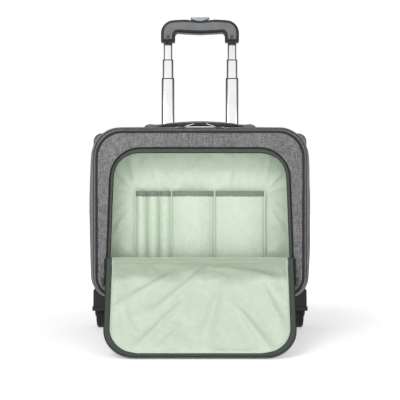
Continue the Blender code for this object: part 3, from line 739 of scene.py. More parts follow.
def absorb(mesh: Mesh, part: Mesh) -> list[bmesh.types.BMVert]:
    """Add one bmesh to another, free it, and return the vertices that came in."""
    data = bpy.data.meshes.new("passing")
    part.to_mesh(data)
    part.free()
    known = len(mesh.verts)
    mesh.from_mesh(data)
    bpy.data.meshes.remove(data)
    mesh.verts.ensure_lookup_table()
    return mesh.verts[known:]


def side_block(mesh: Mesh, side: int, origin: Sequence[float], low: Sequence[float],
               high: Sequence[float], bevel: float, segments: int = 3) -> list[bmesh.types.BMVert]:
    """Add a block that is given for the right side, on the side asked for.

    Args:
        mesh: The mesh that gets it.
        side: -1 for the left, 1 for the right.
        origin: The point on the right side that its corners are measured from.
        low: Its lowest corner, in millimetres.
        high: Its highest corner, in millimetres.
        bevel: The rounding's width, in millimetres.
        segments: The rounding's steps.

    Returns:
        Its vertices.
    """
    first, last = (Vector(origin) + Vector(corner) * MM for corner in (low, high))
    ends = sorted((side * first.x, side * last.x))
    return block(mesh, (ends[0], *first.yz), (ends[1], *last.yz), bevel * MM, segments)


def spun(profile: Sequence[tuple[float, float]], axis: Vector, steps: int,
         closed: bool = True) -> Mesh:
    """Turn a profile of (radius, height) about an axis through the origin.

    Args:
        profile: The points; height runs along the axis.
        axis: The axis's direction.
        steps: Steps in a full turn.
        closed: Whether the last point joins the first.

    Returns:
        The turned mesh.
    """
    part = bmesh.new()
    points = [part.verts.new((radius, 0.0, height)) for radius, height in profile]
    pairs = zip(points, points[1:] + points[:1]) if closed else zip(points, points[1:])
    edges = [part.edges.new(pair) for pair in pairs]
    bmesh.ops.spin(part, geom=points + edges, cent=(0, 0, 0), axis=(0, 0, 1), angle=2 * math.pi,
                   steps=steps, use_merge=True)
    bmesh.ops.remove_doubles(part, verts=part.verts, dist=0.00001)
    bmesh.ops.recalc_face_normals(part, faces=part.faces)
    bmesh.ops.transform(part, matrix=axis.to_track_quat("Z", "Y").to_matrix().to_4x4(), verts=part.verts)
    return part


def in_millimetres(mesh: Mesh, centre: Sequence[float]) -> Mesh:
    """Scale a mesh that was made in millimetres about the origin, and move it to its centre."""
    bmesh.ops.scale(mesh, vec=(MM, MM, MM), verts=mesh.verts)
    bmesh.ops.translate(mesh, vec=centre, verts=mesh.verts)
    return mesh


def place_on(item: Item, body: str, slot: Slot, *nodes: str) -> Item:
    """Let a piece ride on a body, in the place of its CAD nodes, and report it."""
    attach(item, body)
    if nodes:
        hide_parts(*nodes)
    log.info("%s rides on %s", item.name, body)
    return item


def refined(node: str, name: str, finish: Finish, bevel: float, slot: Slot = Slot.MOULDED) -> None:
    """Copy one of the case's hard parts, merge its triangles into faces, and round its edges.

    Args:
        node: The CAD node.
        name: The new piece's name.
        finish: Its finish.
        bevel: The rounding's width.
        slot: Its material slot; not used.
    """
    mesh = bmesh.new()
    mesh.from_mesh(frame["nodes"][node].data)
    bmesh.ops.remove_doubles(mesh, verts=mesh.verts, dist=0.02 * MM)
    bmesh.ops.dissolve_limit(mesh, angle_limit=math.radians(2), verts=mesh.verts, edges=mesh.edges)
    for face in mesh.faces:
        face.material_index = 0
    place_on(round_edges(new_piece(name, mesh, [finish], 35), bevel), "case", slot, node)


def dress(node: str, finish: Finish) -> None:
    """Give a CAD node whose shape is right its finish."""
    item = frame["nodes"][node]
    item.data.materials.clear()
    item.data.materials.append(finish.material())
    log.info("%s keeps its solid", node)


# Cloth ------------------------------------------------------------------------------------------


@dataclass(frozen=True)
class ClothRun:
    """How a piece of cloth is simulated: it grows a little inside its pinned edge and buckles."""

    grow: float
    cap: float
    bending: float = 0.4
    frames: int = 18
    stiffness: float = 12.0

    def run(self, item: Item, pinned: Callable[[Vector], float]) -> Item:
        """Simulate a piece and keep its last shape.

        Args:
            item: The piece, an unmodified mesh.
            pinned: How firmly a point is held, from 0 to 1.

        Returns:
            The same piece, with no cloth modifier left.
        """
        scene = bpy.context.scene
        group = item.vertex_groups.new(name="pin")
        start = [vert.co.copy() for vert in item.data.vertices]
        for number, place in enumerate(start):
            group.add([number], pinned(place), "REPLACE")
        cloth = item.modifiers.new("cloth", "CLOTH")
        settings = cloth.settings
        settings.quality = 5
        settings.mass = 0.15
        settings.tension_stiffness = self.stiffness
        settings.compression_stiffness = self.stiffness
        settings.shear_stiffness = self.stiffness * 0.4
        settings.bending_stiffness = self.bending
        settings.vertex_group_mass = "pin"
        settings.pin_stiffness = 1.0
        settings.shrink_min = -self.grow
        settings.effector_weights.gravity = 0.0
        cloth.point_cache.frame_start = 1
        cloth.point_cache.frame_end = self.frames
        for number in range(1, self.frames + 1):
            scene.frame_set(number)
        evaluated = item.evaluated_get(bpy.context.evaluated_depsgraph_get())
        ended = [vert.co.copy() for vert in evaluated.data.vertices]
        item.modifiers.remove(cloth)
        item.vertex_groups.remove(group)
        for vert, before, after in zip(item.data.vertices, start, ended):
            moved = after - before
            if moved.length > self.cap:
                moved *= self.cap / moved.length
            vert.co = before + moved
        item.data.update()
        scene.frame_set(1)
        return item


# Case -------------------------------------------------------------------------------------------


@dataclass(frozen=True)
class CaseForm:
    """The case's outline from front to back, shared by every piece of its cloth."""

    front_y: float = -0.0561
    sections: tuple[tuple[float, ...], ...] = (
        (0.0, 0.1800, 0.3710, 0.0840, 0.045, 0.034, 0.0),
        (0.0205, 0.1870, 0.3772, 0.0812, 0.047, 0.036, 0.0),
        (0.0600, 0.2000, 0.3840, 0.0740, 0.052, 0.040, 0.0040),
        (0.1200, 0.2067, 0.3850, 0.0700, 0.052, 0.040, 0.0075),
        (0.1800, 0.2105, 0.3850, 0.0680, 0.040, 0.034, 0.0050),
        (0.2220, 0.2128, 0.3850, 0.0660, 0.016, 0.016, 0.0),
    )
    widest: float = 0.222
    seam: float = 0.0205
    trolley: float = 0.205
    tube_x: float = 0.0635
    middle: float = 0.23

    def back(self, distance: float) -> float:
        """World Y of a plane this far behind the front face."""
        return self.front_y + distance

    def outwards(self, place: Vector) -> Vector:
        """The direction away from the middle of the case, level with the front."""
        return Vector((place.x, 0, place.z - self.middle)).normalized()

    def section(self, distance: float) -> tuple[float, ...]:
        """Half width, top, bottom, upper and lower radius and narrowing at a distance."""
        for before, after in zip(self.sections, self.sections[1:]):
            if distance <= after[0]:
                share = max(0.0, (distance - before[0]) / (after[0] - before[0]))
                return tuple(a + (b - a) * share for a, b in zip(before[1:], after[1:]))
        return self.sections[-1][1:]

    def ring(self, distance: float, inset: float = 0.0) -> Ring:
        """Outline of the case at a distance, moved inwards by the inset."""
        half, top, bottom, upper, lower, narrowing = self.section(distance)
        places = frame_outline(half - inset, half - inset, bottom + inset, top - inset,
                               lower - inset, upper - inset)
        reach = (top - bottom) / 2
        curved = [(x * (1 - narrowing / half * min(1.3, abs(z - self.widest) / reach) ** 1.7), z)
                  for x, z in places]
        return upright(curved, self.back(distance))


FORM = CaseForm()


@dataclass
class CaseCloth:
    """The main shell, its rear panel, their piping and the rear half of the main zip."""

    form: CaseForm = FORM
    wall: float = 3.4 * MM
    stations: tuple[float, ...] = (0.0249, 0.030, 0.036, 0.044, 0.052, 0.060, 0.072, 0.084, 0.096, 0.108,
                                   0.120, 0.132, 0.144, 0.156, 0.168, 0.180, 0.190, 0.200, 0.210, 0.2205)
    tape_half: float = 3.7 * MM
    piping: float = 2.0 * MM
    panel: tuple[float, float] = (0.2225, 0.2295)
    panel_sizes: tuple[float, ...] = (0.213, 0.066, 0.385, 0.014)
    opening: tuple[float, float] = (0.0152, 0.0112)

    def build(self) -> None:
        """Make every piece of the case's cloth."""
        self.shell()
        self.rear_panel()
        self.zip_tape("main_zip_rear", 1, "case")
        piping = cord_along("rear_piping", self.form.ring(0.2212, 1.4 * MM), self.piping, PIPING)
        place_on(piping, "case", Slot.TRIM)

    def in_housing(self, place: Vector) -> bool:
        """Whether a point belongs to the wheel housings' room."""
        return abs(place.x) > 0.1505 and place.z < 0.0778 and place.y > self.form.back(0.1662)

    def shell(self) -> Item:
        """Padded shell: grey cloth outside, mint lining inside, cut away for the housings."""
        mesh = bmesh.new()
        skin(mesh, [self.form.ring(distance) for distance in self.stations])
        cut_away(mesh, self.in_housing)
        for sign in SIDES.values():
            self.tube_opening(mesh, sign)
        item = new_piece("shell_cloth", mesh, [MELANGE, TAFFETA, PIPING], 60)
        puff, fine = rumple(1.6 * MM, 0.075, 3.0), rumple(0.7 * MM, 0.028, 8.0)

        def shift(place: Vector, normal: Vector) -> Vector:
            """Soft unevenness that fades towards whatever holds the cloth."""
            away = self.form.outwards(place)
            return (puff(place, away) + fine(place, away) - away * 0.4 * MM) * self.edge_weight(place)

        move_points(item, shift)
        thicken(item, self.wall, -1.0, inner=1, rim=2)
        item = soften(bake(item))
        return place_on(item, "case", Slot.FABRIC, "main_shell")

    def edge_weight(self, place: Vector) -> float:
        """Ease: no rumpling at the seams, the floor, the tubes or the anchors."""
        distance = place.y - self.form.front_y
        first, last = self.stations[0], self.stations[-1]
        ends = min((distance - first) / 0.03, (last - distance) / 0.03, 1.0)
        if place.z > 0.37 and abs(place.x) < 0.115:
            ends = min(ends, 0.15)
        if place.z < 0.085:
            ends = min(ends, 0.1)
        return max(0.0, ends)

    def tube_opening(self, mesh: Mesh, sign: int) -> None:
        """Cut the opening that a fixed tube passes through."""
        half_x, half_y = self.opening
        centre = Vector((sign * self.form.tube_x, self.form.back(self.form.trolley)))
        for axis, spot in ((0, centre.x - half_x), (0, centre.x + half_x), (1, centre.y - half_y),
                           (1, centre.y + half_y)):
            top = [face for face in mesh.faces if face.calc_center_median().z > 0.36
                   and abs(face.calc_center_median().x - centre.x) < 0.05]
            geometry = list({item for face in top for item in (*face.verts, *face.edges, face)})
            where, along = Vector((0, 0, 0)), Vector((0, 0, 0))
            where[axis], along[axis] = spot, 1.0
            bmesh.ops.bisect_plane(mesh, geom=geometry, plane_co=where, plane_no=along, dist=0.00001)
        cut_away(mesh, lambda middle: middle.z > 0.36 and abs(middle.x - centre.x) < half_x
                 and abs(middle.y - centre.y) < half_y)

    def rear_panel(self) -> Item:
        """Padded rear panel: a flat sandwich with a soft edge and two rows of stitching pressed in."""
        front, rear = (self.form.back(distance) for distance in self.panel)
        rows = [(front, inset, proud) for inset, proud in ((30, 0), (8, 0), (1.2, 0), (0, 1.2))]
        rows += [(rear, inset, proud) for inset, proud in (
            (0, -3.0), (1.4, -0.8), (6, 0), (11, 0), (12.2, -1.0), (13.4, 0), (20, 0), (40, 0), (80, 0))]
        mesh = solid([panel_ring(self.panel_sizes, inset * MM, plane + proud * MM, 2 * MM)
                      for plane, inset, proud in rows])
        item = round_edges(new_piece("rear_panel_cloth", mesh, [MELANGE], 60), 0.3 * MM, 1, 50)
        return place_on(item, "case", Slot.FABRIC, "back_panel")

    def zip_tape(self, node: str, direction: int, body: str) -> None:
        """One half of the main zip: a tape that follows the case and its row of coil teeth.

        Args:
            node: The CAD node that it stands for.
            direction: 1 for the half behind the seam, -1 for the half before it.
            body: The body that it rides on.
        """
        seam = self.form.seam
        near, far = seam + direction * 0.35 * MM, seam + direction * (0.15 * MM + self.tape_half)
        mesh = bmesh.new()
        skin(mesh, [self.form.ring(near + (far - near) * share, inset)
                    for share, inset in ((0.0, 0.9 * MM), (0.35, 0.7 * MM), (0.8, 0.3 * MM), (1.0, 0.0))])
        item = new_piece(node + "_cloth", mesh, [PIPING], 60)
        thicken(item, 1.4 * MM)
        place_on(bake(item), body, Slot.TRIM, node)
        path = self.form.ring(seam + direction * 0.75 * MM, 0.35 * MM)
        outward = [self.form.outwards(point) for point in path]
        teeth = teeth_along(node + "_coil", path, outward, (1.2 * MM, 1.2 * MM, 0.7 * MM))
        place_on(teeth, body, Slot.TRIM)


@dataclass
class FrontLid:
    """The front panel around the pocket opening, its gusset, piping and zip tapes."""

    form: CaseForm = FORM
    fold: float = 0.150
    mouth_top: float = 0.3435
    mouth_halves: tuple[float, float] = (0.1627, 0.1555)
    mouth_radius: float = 0.052

    def mouth(self, inset: float, foot: float | None = None) -> Flat:
        """Outline of the pocket opening, moved inwards by the inset, down to its foot."""
        bottom, top = (half - inset for half in self.mouth_halves)
        foot = self.fold if foot is None else foot
        radius = self.mouth_radius - inset
        return frame_outline(bottom, top, foot, self.mouth_top - inset, 0.6 * MM, radius)

    def build(self) -> None:
        """Make every piece of the lid."""
        self.panel()
        self.gusset()
        CaseCloth().zip_tape("main_zip_front", -1, "front_lid")
        place_on(cord_along("front_piping", self.form.ring(0.0012, 1.0 * MM), 2.2 * MM, PIPING),
                 "front_lid", Slot.TRIM)
        self.mouth_tape()

    def panel(self) -> Item:
        """The front panel: padded cloth between its outer edge and the pocket opening."""
        half, top, bottom, upper, lower, _ = self.form.section(0)
        edge = 1.8 * MM
        outer = frame_outline(half - edge, half - edge, bottom + edge, top - edge, lower - edge, upper - edge)
        inner = self.mouth(0)

        def ring(share: float, depth: float) -> Ring:
            """Outline between the outer edge and the opening."""
            return [Vector((a[0] + (b[0] - a[0]) * share, self.form.back(depth), a[1] + (b[1] - a[1]) * share))
                    for a, b in zip(outer, inner)]

        rows = ((0.0, 4.6), (0.0, 1.6), (0.02, 0.9), (0.07, 0.4), (0.16, 0.0), (0.3, -0.3), (0.45, -0.5),
                (0.6, -0.5), (0.75, -0.3), (0.88, 0.1), (0.97, 0.5), (1.0, 1.3), (1.0, 4.6))
        mesh = hollow([ring(share, depth * MM) for share, depth in rows])
        item = new_piece("front_panel_cloth", mesh, [MELANGE], 60)
        puff, fine = rumple(1.3 * MM, 0.055, 5.0), rumple(0.5 * MM, 0.02, 2.0)
        front = self.form.back(1.0 * MM)

        def shift(place: Vector, normal: Vector) -> Vector:
            """Soft unevenness on the face only."""
            if place.y >= front:
                return Vector((0, 0, 0))
            forward = Vector((0, -1, 0))
            return puff(place, forward) + fine(place, forward)

        move_points(item, shift)
        item = soften(item)
        return place_on(item, "front_lid", Slot.FABRIC, "front_panel")

    def gusset(self) -> Item:
        """The strip of cloth between the front panel and the main zip."""
        mesh = bmesh.new()
        skin(mesh, [self.form.ring(distance * MM, inset * MM) for distance, inset in
                    ((3.0, 1.0), (5.0, -0.2), (8.0, -0.9), (11.0, -1.0), (14.0, -0.6), (16.2, 0.2))])
        item = new_piece("gusset_cloth", mesh, [MELANGE, TAFFETA], 60)
        move_points(item, rumple(0.5 * MM, 0.03, 4.0))
        thicken(item, 2.4 * MM, -1.0, inner=1)
        item = soften(bake(item))
        return place_on(item, "front_lid", Slot.FABRIC, "front_gusset")

    def mouth_tape(self) -> None:
        """Zip tape behind the opening's edge, with its teeth along the edge and a painted shadow line along its
        inner edge.
        """
        mesh = bmesh.new()
        rings = []
        crown, widest = 30 * MM, 7.0
        for inset, depth in ((-6.0, 6.2), (-1.5, 6.0), (1.2, 5.6), (3.2, 5.6), (5.6, 5.8), (widest, 6.4)):
            row = upright(self.mouth(inset * MM, self.fold + 1 * MM), self.form.back(depth * MM))
            for point in row:
                share = max(0.0, (point.z - self.mouth_top + crown) / crown)
                point.z -= max(0.0, inset) / widest * 5 * MM * share ** 2
            rings.append(row)
        # Band 4, at the tape's inner edge, is black piping that paints the shadow line there.
        skin(mesh, rings, material=lambda band: 1 if band in (1, 4) else 0)
        cut_away(mesh, lambda middle: middle.z < self.fold + 3 * MM and abs(middle.x) < 0.1535)
        item = new_piece("pocket_tape_cloth", mesh, [ZIP_TAPE, PIPING], 60)
        thicken(item, 1.0 * MM, 0.0)
        place_on(bake(item), "front_lid", Slot.TAPE, "pocket_zip_tape")
        path = upright(self.mouth(1.6 * MM, self.fold + 4 * MM), self.form.back(4.6 * MM))[OPEN_FOOT]
        teeth = teeth_along("pocket_tape_coil", path, [Vector((0, -1, 0))] * len(path),
                            (1.2 * MM, 1.6 * MM, 1.0 * MM), closed=False)
        place_on(teeth, "front_lid", Slot.TRIM)
        self.side_tracks()

    def side_tracks(self) -> None:
        """The black zip that runs on below the fold at both sides of the pocket."""
        front = self.form.back(0)
        for name, sign in SIDES.items():
            mesh = bmesh.new()
            side_block(mesh, sign, (0.1602, front, 0.1045), (0, -1.1, 0), (6.0, 0.6, 46.1), 0.5, 2)
            item = new_piece(f"side_track_{name}", mesh, [PIPING], 50)
            place_on(item, "front_lid", Slot.TRIM)
            path = [Vector((sign * 0.1640, front - 1.1 * MM, 0.1055 + 0.0445 * part / 10))
                    for part in range(11)]
            teeth = teeth_along(f"side_track_coil_{name}", path, [Vector((0, -1, 0))] * len(path),
                                (1.2 * MM, 1.8 * MM, 0.8 * MM), closed=False)
            place_on(teeth, "front_lid", Slot.TRIM)


# Front pocket -----------------------------------------------------------------------------------


def cloth_grid(mesh: Mesh, half_at: Callable[[float], float], bottom: float, top: float,
               cell: float) -> list[bmesh.types.BMVert]:
    """Add an upright grid whose rows are as wide as the piece is at their height.

    Args:
        mesh: The mesh that gets it.
        half_at: Half width at a height.
        bottom: Lowest height.
        top: Highest height.
        cell: Size of a cell.

    Returns:
        Its vertices, at Y 0.
    """
    across, up = round(2 * half_at((bottom + top) / 2) / cell), round((top - bottom) / cell)
    made = bmesh.ops.create_grid(mesh, x_segments=across, y_segments=up, size=0.5)["verts"]
    for vert in made:
        height = bottom + (vert.co.y + 0.5) * (top - bottom)
        vert.co = Vector((vert.co.x * 2 * half_at(height), 0.0, height))
    return made


def rounded_half(halves: tuple[float, float], bottom: float, top: float,
                 radii: tuple[float, float]) -> Callable[[float], float]:
    """Give the half width, at each height, of a panel with rounded corners.

    Args:
        halves: Half width at the bottom and at the top.
        bottom: Lowest height.
        top: Highest height.
        radii: Radius of the lower and of the upper corners.

    Returns:
        The function from height to half width.
    """
    def half_at(height: float) -> float:
        """Half width at one height."""
        share = (height - bottom) / (top - bottom)
        half = halves[0] + (halves[1] - halves[0]) * share
        for radius, depth in ((radii[0], height - bottom), (radii[1], top - height)):
            if depth < radius:
                short = radius - max(depth, 0.0)
                half -= radius - math.sqrt(max(radius * radius - short * short, 0.0))
        return half

    return half_at


def fold_ridge(start: tuple[float, float], end: tuple[float, float], width: float,
               height: float) -> Callable[[Vector], float]:
    """Give the height of one soft fold that runs between two points of an upright cloth.

    Args:
        start: X and Z where it begins.
        end: X and Z where it ends.
        width: Its half width where it is widest.
        height: Its crest, negative for a furrow.

    Returns:
        The function from a place to its height.
    """
    first, along = Vector(start), Vector(end) - Vector(start)

    def height_at(place: Vector) -> float:
        """Height of the fold at one point."""
        here = Vector((place.x, place.z)) - first
        share = here.dot(along) / along.length_squared
        if not 0 < share < 1:
            return 0.0
        aside = (here - along * share).length / (width * (0.35 + 0.65 * share))
        crest = math.sin(math.pi * share) ** 0.8
        return height * crest * math.exp(-aside * aside)

    return height_at


@dataclass
class Pocket:
    """The mint pocket behind the front panel and the organiser sewn to its back wall."""

    form: CaseForm = FORM
    front: float = 0.0070
    wall: float = 0.0455
    half: float = 0.1650
    bottom: float = 0.0965
    top: float = 0.3508
    radii: tuple[float, float] = (0.020, 0.055)
    pocket_bottom: float = 0.0980
    hem: tuple[float, float] = (0.2586, 0.2674)
    pens: tuple[float, ...] = (-0.1145, -0.0935, -0.0725, -0.0515)
    mouse: tuple[float, float] = (-0.0505, 0.0255)
    phone: tuple[float, float] = (0.0265, 0.1150)
    depths: tuple[float, float, float] = (12.5 * MM, 17 * MM, 12 * MM)

    def build(self) -> None:
        """Make the lining, the pockets, their hem and their bindings."""
        self.lining()
        for index, left in enumerate(self.pens[:-1]):
            self.front_sheet(f"pen_pocket_{index + 1}", (left, self.pens[index + 1]), self.depths[0],
                             "pen_sleeve", 7 + index)
        self.front_sheet("mouse_pocket_cloth", self.mouse, self.depths[1], "mouse_pocket", 3)
        self.front_sheet("phone_pocket_cloth", self.phone, self.depths[2], "phone_pocket", 5)
        self.hem_band()
        self.bindings()

    def lining(self) -> Item:
        """The lining: a back wall that wrinkles around the organiser, and short side walls."""
        half_at = rounded_half((self.half, self.half), self.bottom, self.top, self.radii)
        mesh = bmesh.new()
        cloth_grid(mesh, half_at, self.bottom, self.top, 3.6 * MM)
        rear = self.form.back(self.wall)
        for vert in mesh.verts:
            vert.co.y = rear
        edges = boundary(mesh)
        for distance, spread in ((0.0440, 1.2), (0.0400, 0.6), (0.030, 0.0), (0.020, 0.0), (0.0115, 0.0),
                                 (self.front, 0.0)):
            _, fresh, edges = extruded(mesh, edges)
            for vert in fresh:
                vert.co += self.form.outwards(vert.co) * spread * MM
                vert.co.y = self.form.back(distance)
        item = new_piece("pocket_lining", mesh, [TAFFETA], 80, recalculate=False)
        folds = []
        for sign in SIDES.values():
            for end, width, height in (((0.150, 0.338), 5, -3.4), ((0.128, 0.349), 6, 2.6),
                                       ((0.160, 0.318), 5, 2.6), ((0.163, 0.300), 4, -2.6),
                                       ((0.164, 0.280), 5, 2.2), ((0.164, 0.250), 5, -2.4),
                                       ((0.164, 0.222), 5, 2.2), ((0.106, 0.350), 6, -2.2),
                                       ((0.164, 0.196), 5, -2.0), ((0.162, 0.170), 5, 2.0)):
                folds.append(fold_ridge((sign * 0.112, 0.262), (sign * end[0], end[1]), width * MM,
                                        height * MM))
        for spot, drift, width, height in ((-0.075, -0.010, 6, 2.2), (-0.045, 0.004, 5, -2.0),
                                           (-0.015, 0.012, 6, 1.6), (0.012, -0.006, 6, -1.8),
                                           (0.052, 0.008, 6, 2.2), (0.080, -0.004, 5, -1.8)):
            folds.append(fold_ridge((spot, 0.264), (spot + drift, 0.3485), width * MM, height * MM))

        def shift(place: Vector, normal: Vector) -> Vector:
            """Wrinkles that fan out from the organiser's upper ends."""
            if place.y < self.form.back(0.043):
                return Vector((0, 0, 0))
            near_edge = min(1.0, (half_at(place.z) - abs(place.x)) / (9 * MM),
                            (self.top - place.z) / (8 * MM))
            held = 1.0 if place.z > 0.262 or abs(place.x) > 0.117 else 0.0
            total = sum(fold(place) for fold in folds)
            return Vector((0, -1, 0)) * (total * max(0.0, near_edge) * held)

        move_points(item, shift)

        def pinned(place: Vector) -> float:
            """The rim, the side walls and the organiser's seams hold the cloth."""
            if place.y < self.form.back(0.0405):
                return 1.0
            if place.z < 0.264 and abs(place.x) < 0.117:
                return 1.0
            return 0.0 if half_at(place.z) - abs(place.x) > 5 * MM and self.top - place.z > 5 * MM else 0.6

        ClothRun(grow=0.012, cap=4 * MM).run(item, pinned)
        furthest = self.form.back(self.wall + 0.4 * MM)

        def inside(place: Vector, normal: Vector) -> Vector:
            """Keep the cloth in front of the pocket's back."""
            return Vector((0, min(0.0, furthest - place.y), 0))

        move_points(item, inside)
        thicken(item, 0.7 * MM, 0.0)
        item = soften(bake(item))
        return place_on(item, "front_lid", Slot.LINING, "pocket_pouch")

    def plan(self, left: float, right: float, depth: float, steps: int, seed: float,
             height: float) -> Ring:
        """Plan of a pocket front at a height, from the back wall, forward, and back.

        Args:
            left: X of its left seam.
            right: X of its right seam.
            depth: How far it stands out.
            steps: Parts of the plan.
            seed: Where its folds fall.
            height: The height, in metres.

        Returns:
            The points.
        """
        share_up = (height - self.pocket_bottom) / (self.hem[0] - self.pocket_bottom)
        full = 0.80 + 0.20 * math.sin(math.pi * min(1.0, share_up * 0.75 + 0.12))
        gather = max(0.0, (share_up - 0.86) / 0.14)
        points = []
        for step in range(steps + 1):
            share = step / steps
            x = left + (right - left) * share
            lift = math.sin(math.pi * share) ** 0.6
            fold = 0.9 * MM * noise.noise(Vector((x * 95, seed, height * 14))) * lift
            ruffle = 0.55 * MM * math.sin(x / (2.6 * MM) * 2 * math.pi / 2 + seed) * gather * lift
            distance = 0.0441 - depth * full * lift - fold - ruffle
            points.append(Vector((x, self.form.back(min(distance, 0.0441)), height)))
        return points

    def front_sheet(self, name: str, span: tuple[float, float], depth: float, node: str, seed: float) -> None:
        """One pocket's front cloth, closed below.

        Args:
            name: The piece's name.
            span: X of its two seams.
            depth: How far it stands out.
            node: The CAD node that it stands for.
            seed: Where its folds fall.
        """
        steps = max(14, round((span[1] - span[0]) / (1.7 * MM)))
        heights = [self.pocket_bottom + (self.hem[0] + 1.5 * MM - self.pocket_bottom) * part / 34
                   for part in range(35)]
        floor = self.plan(*span, 0.3 * MM, steps, seed, heights[0])
        rings = [floor] + [self.plan(*span, depth, steps, seed, height) for height in heights]
        mesh = bmesh.new()
        skin(mesh, rings, closed_rings=False)
        item = new_piece(name, mesh, [TAFFETA], 60)
        thicken(item, 0.9 * MM, 0.0)
        item = soften(bake(item))
        arc = sum((b - a).length for a, b in zip(rings[20], rings[20][1:]))
        place_on(item, "front_lid", Slot.LINING, node)

    def hem_band(self) -> Item:
        """One ribbed elastic along the top of all the pockets."""
        def row(height: float, proud: float) -> Ring:
            """The band's path at a height, standing proud of the pockets."""
            path: Ring = []
            spans = [(a, b, self.depths[0]) for a, b in zip(self.pens, self.pens[1:])]
            spans += [(*self.mouse, self.depths[1]), (*self.phone, self.depths[2])]
            for left, right, depth in spans:
                points = self.plan(left, right, depth, 24, 0.0, self.hem[0])
                path += [Vector((point.x, min(point.y, self.form.back(0.0435)) - proud, height))
                         for point in points[0 if not path else 1:]]
            return path

        low, high = self.hem
        mesh = bmesh.new()
        skin(mesh, [row(low, 0.1 * MM), row(low + 0.4 * MM, 0.7 * MM), row((low + high) / 2, 0.9 * MM),
                    row(high - 0.4 * MM, 0.7 * MM), row(high, 0.1 * MM)], closed_rings=False)
        item = new_piece("organiser_elastic", mesh, [ELASTIC], 50)
        thicken(item, 1.0 * MM, 0.0)
        return place_on(bake(item), "front_lid", Slot.HEM, "organiser_hem")

    def bindings(self) -> None:
        """Pale tapes that bind the seams between the pockets."""
        seams = (self.pens[0] - 0.4 * MM, self.pens[1], self.pens[2], -0.0510, 0.0260, self.phone[1] + 0.4 * MM)
        for index, spot in enumerate(seams):
            mesh = bmesh.new()
            wide = 1.5 * MM if index in (0, 3, 4, 5) else 0.9 * MM
            block(mesh, (spot - wide, self.form.back(0.0402), self.pocket_bottom + 2 * MM),
                  (spot + wide, self.form.back(0.0446), self.hem[1] + 0.8 * MM), 0.6 * MM, 2)
            place_on(new_piece(f"seam_binding_{index + 1}", mesh, [BINDING], 50), "front_lid", Slot.LINING)


